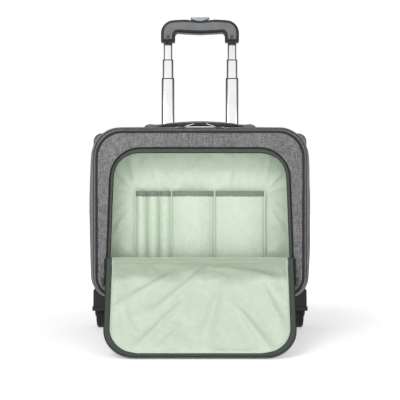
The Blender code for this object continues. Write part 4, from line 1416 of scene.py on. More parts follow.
@dataclass
class Flap:
    """The pocket's flap, drawn closed in the plane of the front panel and turned open about its fold."""

    form: CaseForm = FORM
    lid: FrontLid = field(default_factory=FrontLid)
    fold: float = 0.150
    opened: float = math.radians(140.5)
    gap: float = 1.3 * MM
    border: float = 11 * MM

    def turn(self) -> Matrix:
        """The turn that opens the flap."""
        pivot = Vector((0, self.form.front_y, self.fold))
        return (Matrix.Translation(pivot) @ Matrix.Rotation(self.opened, 4, "X") @ Matrix.Translation(-pivot))

    def opened_mesh(self, item: Item) -> Item:
        """Turn a piece that was made closed."""
        item.data.transform(self.turn())
        item.data.update()
        return item

    def ring(self, inset: float, depth: float, foot: float) -> Ring:
        """Outline at an inset and depth in millimetres, down to its foot."""
        return upright(self.lid.mouth(self.gap + inset * MM, foot), self.form.back(depth * MM))

    def build(self) -> None:
        """Make the outer cloth, the zip tape, its teeth, the lining and the fold."""
        self.outer()
        self.tape()
        self.lining()
        self.fold_strip()

    def outer(self) -> Item:
        """The flap's padded outer cloth."""
        rows = ((3, 3.2), (0.3, 3.0), (-0.5, 2.2), (-0.7, 0.6), (-0.4, -1.0), (0.8, -2.0), (4.0, -2.4),
                (12, -2.2), (30, -1.8))
        mesh = solid([self.ring(inset, depth, self.fold + self.gap) for inset, depth in rows])
        item = new_piece("flap_cloth", mesh, [MELANGE], 60)
        self.opened_mesh(item)
        return place_on(item, "flap", Slot.FABRIC, "flap_panel")

    def tape(self) -> None:
        """Zip tape sewn around the flap, and its teeth at the edge."""
        foot = self.fold + self.gap + 2 * MM
        mesh = bmesh.new()
        rows = ((0.0, 3.3), (0.4, 4.1), (1.4, 4.3), (4.8, 4.4), (9.2, 4.1), (12.0, 3.8))
        skin(mesh, [self.ring(inset, depth, foot) for inset, depth in rows],
             material=lambda band: 1 if band in (0, 1, 4) else 0)
        cut_away(mesh, lambda middle: middle.z < foot + 4 * MM and abs(middle.x) < 0.1505)
        item = new_piece("flap_tape_cloth", mesh, [ZIP_TAPE, PIPING], 60)
        thicken(item, 1.0 * MM, 0.0)
        self.opened_mesh(bake(item))
        place_on(item, "flap", Slot.TAPE, "flap_zip_tape")
        path = self.ring(0.5, 3.9, foot + 3 * MM)[OPEN_FOOT]
        teeth = teeth_along("flap_tape_coil", path, [Vector((0, 1, 0))] * len(path),
                            (1.2 * MM, 1.6 * MM, 1.0 * MM), closed=False)
        place_on(self.opened_mesh(teeth), "flap", Slot.TRIM)
        edge = self.ring(12.1, 5.2, self.fold + 6 * MM)[OPEN_FOOT]
        welt = cord_along("flap_lining_welt", edge, 1.1 * MM, BINDING, closed=False)
        place_on(self.opened_mesh(welt), "flap", Slot.LINING)

    def lining(self) -> Item:
        """The flap's lining: loose cloth that creases where the flap bends to the floor."""
        inset = self.gap + self.border - 1.2 * MM
        bottom, top = self.fold + 12 * MM, self.lid.mouth_top - self.gap - 6.0 * MM
        slope = (self.lid.mouth_halves[1] - self.lid.mouth_halves[0]) / (self.lid.mouth_top - self.fold)
        low_half = self.lid.mouth_halves[0] - inset + slope * 12 * MM
        half_at = rounded_half((low_half, self.lid.mouth_halves[1] - inset), bottom, top,
                               (0.5 * MM, self.lid.mouth_radius - 6 * MM))
        mesh = bmesh.new()
        cloth_grid(mesh, half_at, bottom, top, 3.0 * MM)
        for vert in mesh.verts:
            vert.co.y = self.form.back(4.9 * MM)
        for face in mesh.faces:
            if face.normal.y < 0:
                face.normal_flip()
        # Its finish paints shade in a band near the fold.
        item = new_piece("flap_lining_cloth", mesh, [FOLD_SHADE_TAFFETA], 80, recalculate=False)
        height = top - self.fold
        folds = [fold_ridge((a[0], self.fold + a[1] * height), (b[0], self.fold + b[1] * height), width * MM,
                            size * MM)
                 for a, b, width, size in (
                     ((0.020, 0.08), (-0.108, 0.80), 13, 6.0), ((-0.040, 0.14), (-0.150, 0.62), 10, 4.0),
                     ((-0.018, 0.42), (-0.112, 1.04), 9, 6.5), ((-0.030, 0.72), (-0.070, 1.02), 8, 3.5),
                     ((0.035, 0.30), (0.000, 1.02), 14, 5.5), ((0.058, 0.52), (0.118, 1.04), 10, 6.0),
                     ((0.020, 0.13), (0.145, 0.24), 10, 3.5), ((0.105, 0.30), (0.138, 0.90), 12, 4.5),
                     ((-0.132, 0.20), (-0.118, 0.98), 12, 2.5))]

        def shift(place: Vector, normal: Vector) -> Vector:
            """Long slanting creases, none at the edges."""
            near_edge = min(1.0, (half_at(place.z) - abs(place.x)) / (8 * MM), (top - place.z) / (7 * MM),
                            (place.z - bottom) / (4 * MM))
            total = sum(fold(place) for fold in folds) + 0.8 * MM * noise.noise(place * 24)
            return Vector((0, 1, 0)) * (min(max(total, -0.5 * MM), 9 * MM) + 0.8 * MM) * max(0.0, near_edge)

        move_points(item, shift)
        ClothRun(grow=0.01, cap=3 * MM, bending=0.8).run(
            item, lambda place: 1.0 if half_at(place.z) - abs(place.x) < 3 * MM or top - place.z < 4 * MM
            or place.z - bottom < 4 * MM else 0.0)
        floor_side = self.form.back(4.2 * MM)
        move_points(item, lambda place, normal: Vector((0, max(0.0, floor_side - place.y), 0)))
        thicken(item, 0.7 * MM, 0.0)
        item = self.opened_mesh(soften(bake(item)))
        return place_on(item, "flap", Slot.LINING, "flap_lining")

    def fold_strip(self) -> Item:
        """The lining where it rolls over the fold, from inside the pocket onto the flap."""
        side = ((0.0066, 0.1395), (0.0066, 0.1440), (0.0060, 0.1482), (0.0043, 0.1512), (0.0012, 0.1524),
                (-0.0022, 0.1521), (-0.0050, 0.1506), (-0.0077, 0.1480), (-0.0103, 0.1450),
                (-0.0131, 0.1415), (-0.0155, 0.1386))
        mesh = bmesh.new()
        columns = 60
        rings = []
        for number, (distance, height) in enumerate(side):
            half = 0.1520 - (0.9 * MM if number in (0, len(side) - 1) else 0.0)
            rings.append([Vector((-half + 2 * half * part / columns, self.form.back(distance), height))
                          for part in range(columns + 1)])
        skin(mesh, rings, closed_rings=False)
        for face in mesh.faces:
            if face.calc_center_median().z > 0.151 and face.normal.z < 0:
                bmesh.ops.reverse_faces(mesh, faces=mesh.faces[:])
                break
        # Its finish paints the same shade band near the fold.
        item = new_piece("fold_lining", mesh, [FOLD_SHADE_TAFFETA], 80, recalculate=False)
        thicken(item, 0.9 * MM, 0.0)
        item = soften(bake(item))
        self.form.back(0.0060)
        self.form.back(-0.0077)
        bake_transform(item)
        log.info("%s bends between front_lid and flap", item.name)
        return item


# Carry handle and zip sliders -------------------------------------------------------------------


@dataclass
class CarryHandle:
    """Padded carry handle with its webbing and the cloth domes over its anchors."""

    form: CaseForm = FORM
    distance: float = 0.090
    axis_z: float = 0.3893
    stations: tuple[tuple[float, float, float, float], ...] = (
        (0.0845, 2.7, 2.2, -0.6), (0.0785, 3.2, 2.3, -0.6), (0.0740, 4.6, 2.4, -0.5), (0.0690, 6.2, 2.7, -0.2),
        (0.0640, 8.0, 3.1, 0.3), (0.0580, 9.6, 3.5, 0.8), (0.0500, 11.2, 3.9, 1.3), (0.0400, 12.0, 4.2, 1.9),
        (0.0260, 12.4, 4.4, 2.5), (0.0120, 12.5, 4.6, 3.0))

    def build(self) -> None:
        """Make the padded grip, its seam and the anchors."""
        full = [(-x, *rest) for x, *rest in self.stations] + [(0.0, *self.stations[-1][1:])]
        full += [(x, *rest) for x, *rest in reversed(self.stations)]

        def ring(station: tuple[float, ...]) -> Ring:
            """Flat oval section of the handle."""
            x, half_y, half_z, lift = station
            points = []
            for number in range(24):
                angle = 2 * math.pi * number / 24
                y = half_y * MM * math.copysign(abs(math.cos(angle)) ** 0.8, math.cos(angle))
                z = half_z * MM * math.copysign(abs(math.sin(angle)) ** 0.9, math.sin(angle))
                points.append(Vector((x, self.form.back(self.distance) + y, self.axis_z + lift * MM + z)))
            return points

        mesh = solid([ring(station) for station in full])
        item = new_piece("carry_handle_cloth", mesh, [MELANGE], 70)
        move_points(item, rumple(0.35 * MM, 0.012, 6.0))
        soften(item)
        place_on(item, "carry_handle", Slot.FABRIC, "carry_handle")
        for name, sign in SIDES.items():
            path = [Vector((x, self.form.back(self.distance) + sign * (half_y - 0.1) * MM,
                            self.axis_z + lift * MM)) for x, half_y, _, lift in full if abs(x) < 0.070]
            place_on(cord_along(f"handle_piping_{name}", path, 0.8 * MM, PIPING, closed=False),
                     "carry_handle", Slot.TRIM)
            self.anchor(name, sign)
        strap = bmesh.new()
        block(strap, (-0.104, self.form.back(self.distance - 0.0065), 0.3842),
              (0.104, self.form.back(self.distance + 0.0065), 0.3858), 0.4 * MM, 2)
        place_on(new_piece("handle_webbing", strap, [PIPING], 50), "case", Slot.TRIM)

    def anchor(self, name: str, sign: int) -> None:
        """A low dome of cloth sewn over the moulded end that holds the handle."""
        mesh = bmesh.new()
        bmesh.ops.create_uvsphere(mesh, u_segments=28, v_segments=16, radius=1.0)
        centre = Vector((sign * 0.0905, self.form.back(self.distance), 0.3846))
        for vert in mesh.verts:
            square = 1.0 + 0.25 * (vert.co.x * vert.co.y) ** 2
            vert.co = centre + Vector((vert.co.x * 0.0125 * square, vert.co.y * 0.0105 * square,
                                       vert.co.z * 0.0072))
        cut_away(mesh, lambda middle: middle.z < centre.z - 1.6 * MM)
        bmesh.ops.holes_fill(mesh, edges=boundary(mesh), sides=0)
        item = new_piece(f"anchor_dome_{name}", mesh, [MELANGE], 60)
        place_on(item, "case", Slot.FABRIC, f"handle_anchor_{name}")


@dataclass
class ZipSliders:
    """The sliders of the main zip and of the pocket zip, with their pulls."""

    form: CaseForm = FORM
    slider_x: float = 0.033
    slider_z: float = 0.3787
    half: float = 5.0 * MM
    lift: float = math.radians(18)
    pocket: tuple[float, float] = (0.1675, 0.106)

    def build(self) -> None:
        """Make four sliders and four pulls."""
        for name, sign in SIDES.items():
            self.main_slider(name, sign)
            self.main_pull(name, sign)
            self.pocket_slider(name, sign)
            self.pocket_pull(name, sign)

    def main_slider(self, name: str, sign: int) -> None:
        """A lacquered slider body that narrows towards its tail, with a bridge for the pull."""
        x, y, _ = origin = (self.slider_x, self.form.back(self.form.seam), self.slider_z)
        mesh = bmesh.new()
        for vert in side_block(mesh, sign, origin, (-5, -5.6, -4.2), (5, 5, 0.8), 0.9):
            tail = max(0.0, (abs(vert.co.x) - x) / self.half)
            vert.co.y = y + (vert.co.y - y) * (1 - 0.35 * tail)
        side_block(mesh, sign, origin, (-5, -1.6, -0.2), (-3, 1.6, 2.3), 0.6, 2)
        side_block(mesh, sign, origin, (2.6, -1.6, -0.2), (4.4, 1.6, 2.3), 0.6, 2)
        side_block(mesh, sign, origin, (-5, -1.3, 1.6), (4.2, 1.3, 2.6), 0.4, 2)
        item = new_piece(f"main_slider_body_{name}", mesh, [LACQUER], 35)
        place_on(item, f"main_slider_{name}", Slot.MOULDED, f"main_zip_slider_{name}")

    def pull_turn(self, sign: int) -> Matrix:
        """The lift of a main pull about its hinge."""
        pivot = Vector((sign * (self.slider_x - self.half), self.form.back(self.form.seam),
                        self.slider_z + 3.5 * MM))
        lift = Matrix.Rotation(sign * self.lift, 4, "Y")
        return Matrix.Translation(pivot) @ lift @ Matrix.Translation(-pivot)

    def main_pull(self, name: str, sign: int) -> None:
        """A bright pull with a waist, and the black moulded tab on its end."""
        near, y, z = origin = (self.slider_x - self.half, self.form.back(self.form.seam),
                               self.slider_z + 1.6 * MM)
        metal = bmesh.new()
        for vert in side_block(metal, sign, origin, (-18.5, -2.7, -0.8), (-0.4, 2.7, 0.9), 0.6):
            along = min(1.0, max(0.0, (near - abs(vert.co.x)) / (16.5 * MM)))
            vert.co.y = y + (vert.co.y - y) * (0.95 - 0.45 * math.sin(math.pi * along))
        ring = spun(((1.5, 0.8), (2.4, 0.8), (2.9, 0.3), (2.9, -0.3), (2.4, -0.8), (1.5, -0.8)),
                    Vector((0, 0, 1)), 24)
        absorb(metal, in_millimetres(ring, (sign * (near - 2.2 * MM), y, z)))
        bmesh.ops.transform(metal, matrix=self.pull_turn(sign), verts=metal.verts)
        place_on(new_piece(f"main_pull_metal_{name}", metal, [NICKEL], 35), f"main_pull_{name}", Slot.ZIP,
                 f"main_zip_pull_{name}")
        tab = bmesh.new()
        side_block(tab, sign, origin, (-24.5, -3.0, -1.4), (-17.0, 3.0, 1.4), 1.0, 4)
        bmesh.ops.transform(tab, matrix=self.pull_turn(sign), verts=tab.verts)
        place_on(new_piece(f"main_pull_tab_{name}", tab, [LACQUER], 35), f"main_pull_{name}", Slot.MOULDED)

    def pocket_slider(self, name: str, sign: int) -> None:
        """The pocket zip's lacquered slider, parked below the fold."""
        x, z = self.pocket
        origin = (x, self.form.back(0), z)
        mesh = bmesh.new()
        for vert in side_block(mesh, sign, origin, (-3.5, -2.8, 0), (3.5, -0.3, 10), 0.8):
            tail = max(0.0, (z + 5 * MM - vert.co.z) / (5 * MM))
            vert.co.x = sign * x + (vert.co.x - sign * x) * (1 - 0.3 * tail)
        side_block(mesh, sign, origin, (-1.0, -4.0, 6.6), (1.0, -2.4, 9.6), 0.4, 2)
        place_on(new_piece(f"pocket_slider_body_{name}", mesh, [LACQUER], 35), f"pocket_slider_{name}",
                 Slot.MOULDED, f"pocket_zip_slider_{name}")

    def pocket_pull(self, name: str, sign: int) -> None:
        """A short moulded pull that lies on the pocket slider."""
        x, z = self.pocket
        origin = (x, self.form.back(-4.9 * MM), z)
        mesh = bmesh.new()
        for vert in side_block(mesh, sign, origin, (-2.2, -0.6, -3.0), (2.2, 0.6, 9.5), 0.5):
            along = min(1.0, max(0.0, (z + 9.5 * MM - vert.co.z) / (12.5 * MM)))
            vert.co.x = sign * x + (vert.co.x - sign * x) * (0.8 + 0.2 * math.cos(2 * math.pi * along))
        place_on(new_piece(f"pocket_pull_bar_{name}", mesh, [LACQUER], 35), f"pocket_pull_{name}", Slot.MOULDED,
                 f"pocket_zip_pull_{name}")


# Trolley and grip -------------------------------------------------------------------------------


@dataclass
class Trolley:
    """Telescopic tubes with their slide bushes, bezel and lower bracket."""

    form: CaseForm = FORM
    fixed: tuple[float, float, float, float, float] = (0.0145, 0.0105, 0.0015, 0.0780, 0.3890)
    stages: tuple[tuple[float, float, float, float, float], ...] = (
        (0.0125, 0.0085, 0.0012, 0.1930, 0.4911),
        (0.0105, 0.0065, 0.0012, 0.2400, 0.5281),
        (0.0085, 0.0045, 0.0012, 0.2800, 0.5880))
    bush: float = 1.6 * MM
    play: float = 0.4 * MM
    corners: tuple[float, ...] = (7.0 * MM, 6.0 * MM, 5.0 * MM, 4.0 * MM)

    def build(self) -> None:
        """Make every tube and what holds them."""
        for name, sign in SIDES.items():
            self.tube(f"outer_tube_{name}", sign, self.fixed, "case", self.corners[0])
            for number, sizes in enumerate(self.stages, start=1):
                body = "trolley_grip" if number == 3 else f"trolley_stage{number}"
                corner = self.corners[number]
                self.tube(f"stage{number}_tube_{name}", sign, sizes, body, corner)
                if number < 3:
                    self.bush_lip(f"stage{number}_bush_{name}", sign, sizes, self.stages[number], body, corner)
        refined("trolley_bezel", "tube_bezel", POLYPROPYLENE, 0.3 * MM)
        refined("tube_base_bracket", "tube_bracket", POLYPROPYLENE, 0.3 * MM)

    def section(self, sign: int, half_x: float, half_y: float, radius: float, height: float,
                inset: float = 0.0) -> Ring:
        """Rounded section of a tube at a height."""
        half_x, half_y = half_x - inset, half_y - inset
        round_by = max(radius - inset, 0.4 * MM)
        corners = ((0, -half_y), (half_x, -half_y), (half_x, half_y), (-half_x, half_y), (-half_x, -half_y))
        places = outline(corners, (0, round_by, round_by, round_by, round_by), segments=8)
        centre = Vector((sign * self.form.tube_x, self.form.back(self.form.trolley)))
        return [Vector((centre.x + x, centre.y + y, height)) for x, y in places]

    def tube(self, node: str, sign: int, sizes: tuple[float, ...], body: str, corner: float) -> None:
        """One rounded aluminium tube with a softened mouth.

        Args:
            node: The CAD node that it stands for.
            sign: -1 for the left tube, 1 for the right.
            sizes: Half width, half depth, wall, bottom and top.
            body: The body that it rides on.
            corner: The radius of its corners.
        """
        half_x, half_y, wall, bottom, top = sizes
        lip = 0.25 * MM
        rows = ((bottom, wall), (bottom, 0), (top - lip, 0), (top, lip), (top, wall - lip), (top - lip, wall))
        mesh = hollow([self.section(sign, half_x, half_y, corner, height, inset) for height, inset in rows])
        item = new_piece(node + "_drawn", mesh, [ALUMINIUM], 50)
        place_on(item, body, Slot.TUBE, node)

    def bush_lip(self, node: str, sign: int, outer: tuple[float, ...], inner: tuple[float, ...], body: str,
                 corner: float) -> None:
        """The thin dark lip of the bush that guides the next stage."""
        half_x, half_y, _, _, top = outer
        clear_x, clear_y = inner[0] + self.play, inner[1] + self.play
        low, high = top + 0.3 * MM, top + 0.3 * MM + self.bush
        mesh = hollow([self.section(sign, clear_x, clear_y, corner - 1 * MM, low),
                       self.section(sign, half_x, half_y, corner, low),
                       self.section(sign, half_x, half_y, corner, high - 0.5 * MM),
                       self.section(sign, half_x, half_y, corner, high, 0.5 * MM),
                       self.section(sign, clear_x, clear_y, corner - 1 * MM, high)])
        place_on(new_piece(node + "_lip", mesh, [POLYPROPYLENE], 50), body, Slot.MOULDED, node)


@dataclass
class Grip:
    """The grip: two shells with a near-black rim of painted shade, a grey face of painted highlight, two screws
    and the release button.
    """

    form: CaseForm = FORM
    half: float = 0.077
    bottom: float = 0.564
    top: float = 0.609
    leg_inner: float = 0.0495
    bar_bottom: float = 0.581
    half_depth: float = 0.0125
    button: tuple[float, float, float] = (0.0186, 0.6012, 0.613)
    screw: tuple[float, float] = (0.0627, 0.574)

    def side(self, inset: float) -> Flat:
        """Outline of the grip at an inset: crowned above, hollowed below."""
        half, foot, inner = self.half - inset, self.bottom + inset, self.leg_inner + inset
        peak, corner_top = self.top - inset, self.top - 3.4 * MM - inset
        under_side, under_middle = self.bar_bottom + 2.4 * MM + inset, self.bar_bottom - 0.6 * MM + inset
        corners = ((0, under_middle), (inner * 0.55, under_middle + 1.1 * MM), (inner, under_side),
                   (inner, foot), (half, foot), (half, corner_top), (half * 0.5, peak - 0.7 * MM), (0, peak),
                   (-half * 0.5, peak - 0.7 * MM), (-half, corner_top), (-half, foot), (-inner, foot),
                   (-inner, under_side), (-inner * 0.55, under_middle + 1.1 * MM))
        radius, curl, toe, soft = max(0.0235 - inset, 4 * MM), 7.5 * MM + inset, 1.6 * MM, 10 * MM
        radii = (0, soft, curl, toe, toe, radius, soft, 0, soft, radius, toe, toe, curl, soft)
        return outline(corners, radii, segments=8)

    def build(self) -> None:
        """Make the shells, the face inserts, the screws, the button and what it pushes."""
        middle = self.form.back(self.form.trolley)
        for name, direction in (("front", -1), ("rear", 1)):
            self.shell(name, direction, middle)
        self.screws(middle)
        self.button_cap(middle)
        dress("release_link", ZINC_STEEL)
        dress("button_spring", ZINC_STEEL)

    def scoop(self, mesh: Mesh, margin: float, start: float, rest: float, sink: float) -> None:
        """Sink the top edge under the button's ends.

        Args:
            mesh: The mesh whose edge is sunk.
            margin: How far the hollow reaches past the button's ends, in millimetres, like the others.
            start: How far below the button it begins.
            rest: How far below the grip's top its ends lie.
            sink: How much deeper its middle lies.
        """
        for vert in mesh.verts:
            share = abs(vert.co.x) / (self.button[0] + margin * MM)
            if share < 1 and vert.co.z > self.button[1] - start * MM:
                hollowed = self.top - rest * MM - sink * MM * math.sqrt(1 - share * share)
                vert.co.z = min(vert.co.z, hollowed)

    def shell(self, name: str, direction: int, middle: float) -> None:
        """One half of the grip: a near-black rim of painted shade and a grey face of painted highlight set into
        it.

        Args:
            name: front or rear.
            direction: -1 for the front half, 1 for the rear.
            middle: World Y of the grip's middle.
        """
        def ring(inset: float, depth: float) -> Ring:
            """Outline at an inset and a distance from the middle, in millimetres."""
            return upright(self.side(inset * MM), middle + direction * depth * MM)

        rim = solid([ring(*row) for row in ((0.0, 0.15), (0.0, 7.0), (0.35, 8.9), (1.0, 10.1), (2.4, 11.3),
                                            (4.2, 12.0), (5.1, 12.1), (5.4, 11.6))])
        self.scoop(rim, 1.5, 1, 0, 4.2)
        place_on(new_piece(f"grip_rim_{name}", rim, [GRIP_SHADE_RIM], 40), "trolley_grip", Slot.GRIP,
                 f"grip_shell_{name}")
        face = solid([ring(*row) for row in ((5.5, 11.5), (5.5, 12.0), (5.8, 12.35), (6.6, 12.5))])
        self.scoop(face, 4, 2, 5, 4.0)
        place_on(new_piece(f"grip_face_{name}", face, [GRIP_HIGHLIGHT_FACE], 40), "trolley_grip", Slot.GRIP)

    def screws(self, middle: float) -> None:
        """Sunk cross-head screws in recesses painted near-black as shade, with dark heads that carry the same
        painted shade.
        """
        for name, sign in SIDES.items():
            spot = Vector((sign * self.screw[0], middle - self.half_depth, self.screw[1]))
            cup = spun(((0.0, 0.06), (2.5, 0.06), (3.0, 0.25), (3.3, 0.2), (3.3, -1.2), (0.0, -1.2)),
                       Vector((0, -1, 0)), 28, closed=False)
            place_on(new_piece(f"screw_recess_{name}", in_millimetres(cup, spot), [GRIP_SHADE_RIM], 40),
                     "trolley_grip", Slot.GRIP)
            # The head's dark zinc also stands for the painted shade in its recess.
            head = spun(((0.0, 0.30), (1.5, 0.28), (2.3, 0.12), (2.4, -0.2), (0.0, -0.2)),
                        Vector((0, -1, 0)), 24, closed=False)
            place_on(new_piece(f"screw_head_{name}", in_millimetres(head, spot), [ZINC_STEEL], 35),
                     "trolley_grip", Slot.STEEL, f"grip_screw_{name}")

    def button_cap(self, middle: float) -> None:
        """The release button: a long silver lens that is flat on top."""
        half, low, high = self.button
        waist, foot, brow = half * 0.62, low + 4.0 * MM, high - 1.6 * MM
        lens = outline(((0, low + 3.4 * MM), (waist, foot), (half, brow), (half - 0.6 * MM, high), (0, high),
                        (-half + 0.6 * MM, high), (-half, brow), (-waist, foot)),
                       (0, 0.03, 1.5 * MM, 1.2 * MM, 0, 1.2 * MM, 1.5 * MM, 0.03), segments=8)
        centre = (low + high) / 2

        def ring(scale: float, depth: float) -> Ring:
            """Outline of the lens, drawn in and set at a depth in millimetres."""
            return [Vector((x * scale, middle + depth * MM, centre + (z - centre) * (2 * scale - 1)))
                    for x, z in lens]

        mesh = solid([ring(*row) for row in ((0.90, -9.6), (0.96, -9.3), (0.99, -8.5), (1.0, -7.2),
                                             (1.0, 7.2), (0.99, 8.5), (0.96, 9.3), (0.90, 9.6))])
        block(mesh, (-half * 0.8, middle - 6 * MM, low + 0.2 * MM),
              (half * 0.8, middle + 6 * MM, high - 5 * MM), 0.5 * MM, 2)
        place_on(new_piece("button_lens", mesh, [SILVER], 40), "release_button", Slot.BUTTON, "release_button")


# Wheels, feet and the inside --------------------------------------------------------------------


@dataclass
class RunningGear:
    """Wheels, their housings and axles, and the front feet."""

    form: CaseForm = FORM
    wheel_x: float = 0.1915
    radius: float = 31.0
    half: float = 11.0
    rim: float = 23.5

    def build(self) -> None:
        """Make both sides."""
        for name, sign in SIDES.items():
            self.wheel(name, sign)
            refined(f"wheel_housing_{name}", f"housing_{name}", POLYPROPYLENE, 0.9 * MM)
            refined(f"front_foot_{name}", f"foot_{name}", POLYPROPYLENE, 0.8 * MM)

    def place(self, mesh: Mesh, sign: int) -> Mesh:
        """Move a wheel part that was made in millimetres about the origin to its axle."""
        return in_millimetres(mesh, (sign * self.wheel_x, self.form.back(self.form.trolley), self.radius * MM))

    def wheel(self, name: str, sign: int) -> None:
        """A grooved tyre on a spoked hub with a cap, and its axle."""
        axis = Vector((sign, 0, 0))
        r, h = self.radius, self.half
        tread = [(self.rim, h - 0.4), (r - 4.4, h), (r - 2.4, h - 0.15), (r - 0.9, h - 1.0), (r, h - 3.2)]
        grooves = [(r, 4.3), (r - 0.9, 4.0), (r - 0.9, 3.4), (r, 3.1), (r, -3.1), (r - 0.9, -3.4),
                   (r - 0.9, -4.0), (r, -4.3)]
        profile = tread + grooves + [(radius, -height) for radius, height in reversed(tread)]
        tyre = spun(profile, axis, 72)
        place_on(new_piece(f"tyre_{name}", self.place(tyre, sign), [POLYURETHANE], 35), f"wheel_{name}",
                 Slot.TYRE, f"wheel_tyre_{name}")
        rim = spun(((23.1, 9.6), (22.8, 9.8), (20.6, 9.8), (20.2, 9.3), (19.6, 2.0), (19.6, -2.0), (20.2, -9.3),
                    (20.6, -9.8), (22.8, -9.8), (23.1, -9.6)), axis, 64)
        boss = spun(((3.4, 10.0), (6.6, 10.0), (7.6, 9.0), (8.4, 2.0), (8.4, -2.0), (7.6, -9.0), (6.6, -10.0),
                     (3.4, -10.0)), axis, 40)
        absorb(rim, boss)
        web = spun(((8.0, 1.2), (19.9, 1.2), (19.9, -1.2), (8.0, -1.2)), axis, 48)
        absorb(rim, web)
        for number in range(6):
            spoke = bmesh.new()
            block(spoke, (-6.2, -1.5, 7.6), (6.2, 1.5, 20.2), 0.7, 2)
            turn = Matrix.Rotation(number * math.pi / 3, 4, "X")
            bmesh.ops.transform(spoke, matrix=turn, verts=spoke.verts)
            absorb(rim, spoke)
        item = new_piece(f"hub_{name}", self.place(rim, sign), [POLYPROPYLENE], 35)
        place_on(item, f"wheel_{name}", Slot.MOULDED, f"wheel_hub_{name}")
        axle = spun(((0.0, 16.6), (3.2, 16.5), (4.6, 16.0), (5.2, 15.6), (3.0, 15.6), (3.0, -19.1),
                     (2.6, -19.5), (0.0, -19.5)), axis, 32, closed=False)
        place_on(new_piece(f"axle_{name}", self.place(axle, sign), [ZINC_STEEL], 35), "case", Slot.STEEL,
                 f"wheel_axle_{name}")


@dataclass
class Interior:
    """What is inside the main compartment."""

    form: CaseForm = FORM

    def build(self) -> None:
        """Make the padded divider and board, and finish the stiffener."""
        self.pad("divider_pad", "laptop_divider", (0.190, 0.0815, 0.330, 0.020), (0.158, 0.164), 1.0 * MM)
        self.pad("back_board_lining", "inner_back_board", (0.198, 0.0785, 0.372, 0.030), (0.1885, 0.1915),
                 0.2 * MM)
        refined("base_plate", "base_stiffener", BOARD, 0.5 * MM, Slot.BOARD)

    def pad(self, name: str, node: str, sizes: tuple[float, ...], depths: tuple[float, float],
            crown: float) -> None:
        """A lined pad with a bound edge.

        Args:
            name: The piece's name.
            node: The CAD node that it stands for.
            sizes: Half width, bottom, top and corner radius.
            depths: Its front and rear, behind the case's front face.
            crown: How far its faces swell beyond its bound edge.
        """
        front, rear = (self.form.back(depth) for depth in depths)
        edge = (rear - front) * 0.22
        steps = ((70, 0), (30, 0), (9, crown * 0.2), (4.5, edge), (0.6, edge))
        rows = [*((inset, front + depth) for inset, depth in steps), (0, (front + rear) / 2),
                *((inset, rear - depth) for inset, depth in reversed(steps))]
        mesh = solid([panel_ring(sizes, inset * MM, y, 3 * MM) for inset, y in rows],
                     material=lambda band: 1 if 3 <= band <= 6 else 0)
        item = new_piece(name, mesh, [TAFFETA, ZIP_TAPE], 60)
        place_on(item, "case", Slot.LINING, node)


# Studio -----------------------------------------------------------------------------------------


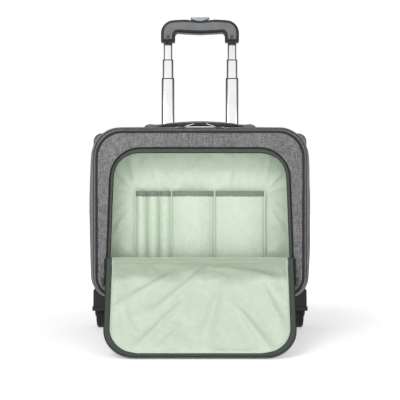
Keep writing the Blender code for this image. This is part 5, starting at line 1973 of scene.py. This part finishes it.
@dataclass
class Studio:
    """Pale floor, soft lights and the level camera."""

    form: CaseForm = FORM
    distance: float = 1.405
    height: float = 0.252
    lens: float = 73.0

    def build(self) -> None:
        """Make the camera, the floor, the lights and the world."""
        self.camera()
        self.floor()
        self.light("key_softbox", (-0.9, -1.9, 1.9), (0.0, -0.05, 0.25), 0.9, 22)
        self.light("fill_softbox", (1.3, -1.7, 1.2), (0.0, 0.0, 0.25), 1.6, 5)
        self.light("top_softbox", (0.0, 0.3, 2.2), (0.0, 0.0, 0.3), 1.8, 9)
        self.world()

    def camera(self) -> None:
        """A level camera in front of the case."""
        data = bpy.data.cameras.new("front_camera")
        data.lens = self.lens
        data.sensor_width = 36.0
        item = bpy.data.objects.new("front_camera", data)
        item.location = (0.0, self.form.front_y - self.distance, self.height)
        item.rotation_euler = (math.radians(90), 0.0, 0.0)
        bpy.context.scene.collection.objects.link(item)
        bpy.context.scene.camera = item

    def floor(self) -> None:
        """A wide pale floor."""
        mesh = bmesh.new()
        bmesh.ops.create_grid(mesh, x_segments=8, y_segments=8, size=9.0)
        bmesh.ops.translate(mesh, vec=(0, 4.0, -0.2 * MM), verts=mesh.verts)
        finish = StudioFloor("white_studio_floor", "#f4f4f4", 0.8)
        item = new_piece("studio_floor", mesh, [finish], 30, recalculate=False)

    def light(self, name: str, place: Sequence[float], target: Sequence[float], size: float,
              power: float) -> None:
        """A square soft light.

        Args:
            name: Its name.
            place: Where it stands.
            target: Where it points.
            size: Its side, in metres.
            power: Its power, in watts.
        """
        data = bpy.data.lights.new(name, "AREA")
        data.energy = power
        data.size = size
        item = bpy.data.objects.new(name, data)
        item.location = place
        item.rotation_euler = (Vector(target) - Vector(place)).to_track_quat("-Z", "Y").to_euler()
        bpy.context.scene.collection.objects.link(item)

    def world(self) -> None:
        """A white surround that is bright in front and dimmer at the sides."""
        world = bpy.data.worlds.new("studio")
        bpy.context.scene.world = world
        world.use_nodes = True
        tree = world.node_tree
        tree.nodes.clear()
        place = add_node(tree, "TexCoord")
        split = add_node(tree, "SeparateXYZ", {0: place.outputs["Generated"]})
        facing = add_node(tree, "MapRange", {"Value": split.outputs["Y"], "From Min": 0.3, "From Max": -0.7,
                                             "To Min": 0.13, "To Max": 0.34}, interpolation_type="SMOOTHSTEP")
        ahead = add_node(tree, "MapRange", {"Value": split.outputs["Y"], "From Min": -0.40, "From Max": -0.52,
                                            "To Min": 0.0, "To Max": 0.7})
        strength = add_node(tree, "Math", {0: facing.outputs["Result"], 1: ahead.outputs["Result"]},
                            operation="ADD")
        surround = add_node(tree, "Background", {"Strength": strength.outputs[0],
                                                 "Color": hex_colour("#ffffff")})
        backdrop = add_node(tree, "Background", {"Strength": 1.0, "Color": hex_colour("#ffffff")})
        path = add_node(tree, "LightPath")
        mix = add_node(tree, "MixShader", {0: path.outputs["Is Camera Ray"], 1: surround.outputs[0],
                                           2: backdrop.outputs[0]})
        add_node(tree, "OutputWorld", {"Surface": mix.outputs[0]})


def main() -> None:
    """Build every sub-assembly."""
    logging.basicConfig(level=logging.INFO, format="%(name)s: %(message)s")
    scene = bpy.context.scene
    scene.view_settings.view_transform = "Standard"
    for assembly in (CaseCloth(), FrontLid(), Pocket(), Flap(), CarryHandle(), ZipSliders(), Trolley(), Grip(),
                     RunningGear(), Interior(), Studio()):
        log.info("building %s", type(assembly).__name__)
        assembly.build()


if __name__ == "__main__":
    main()
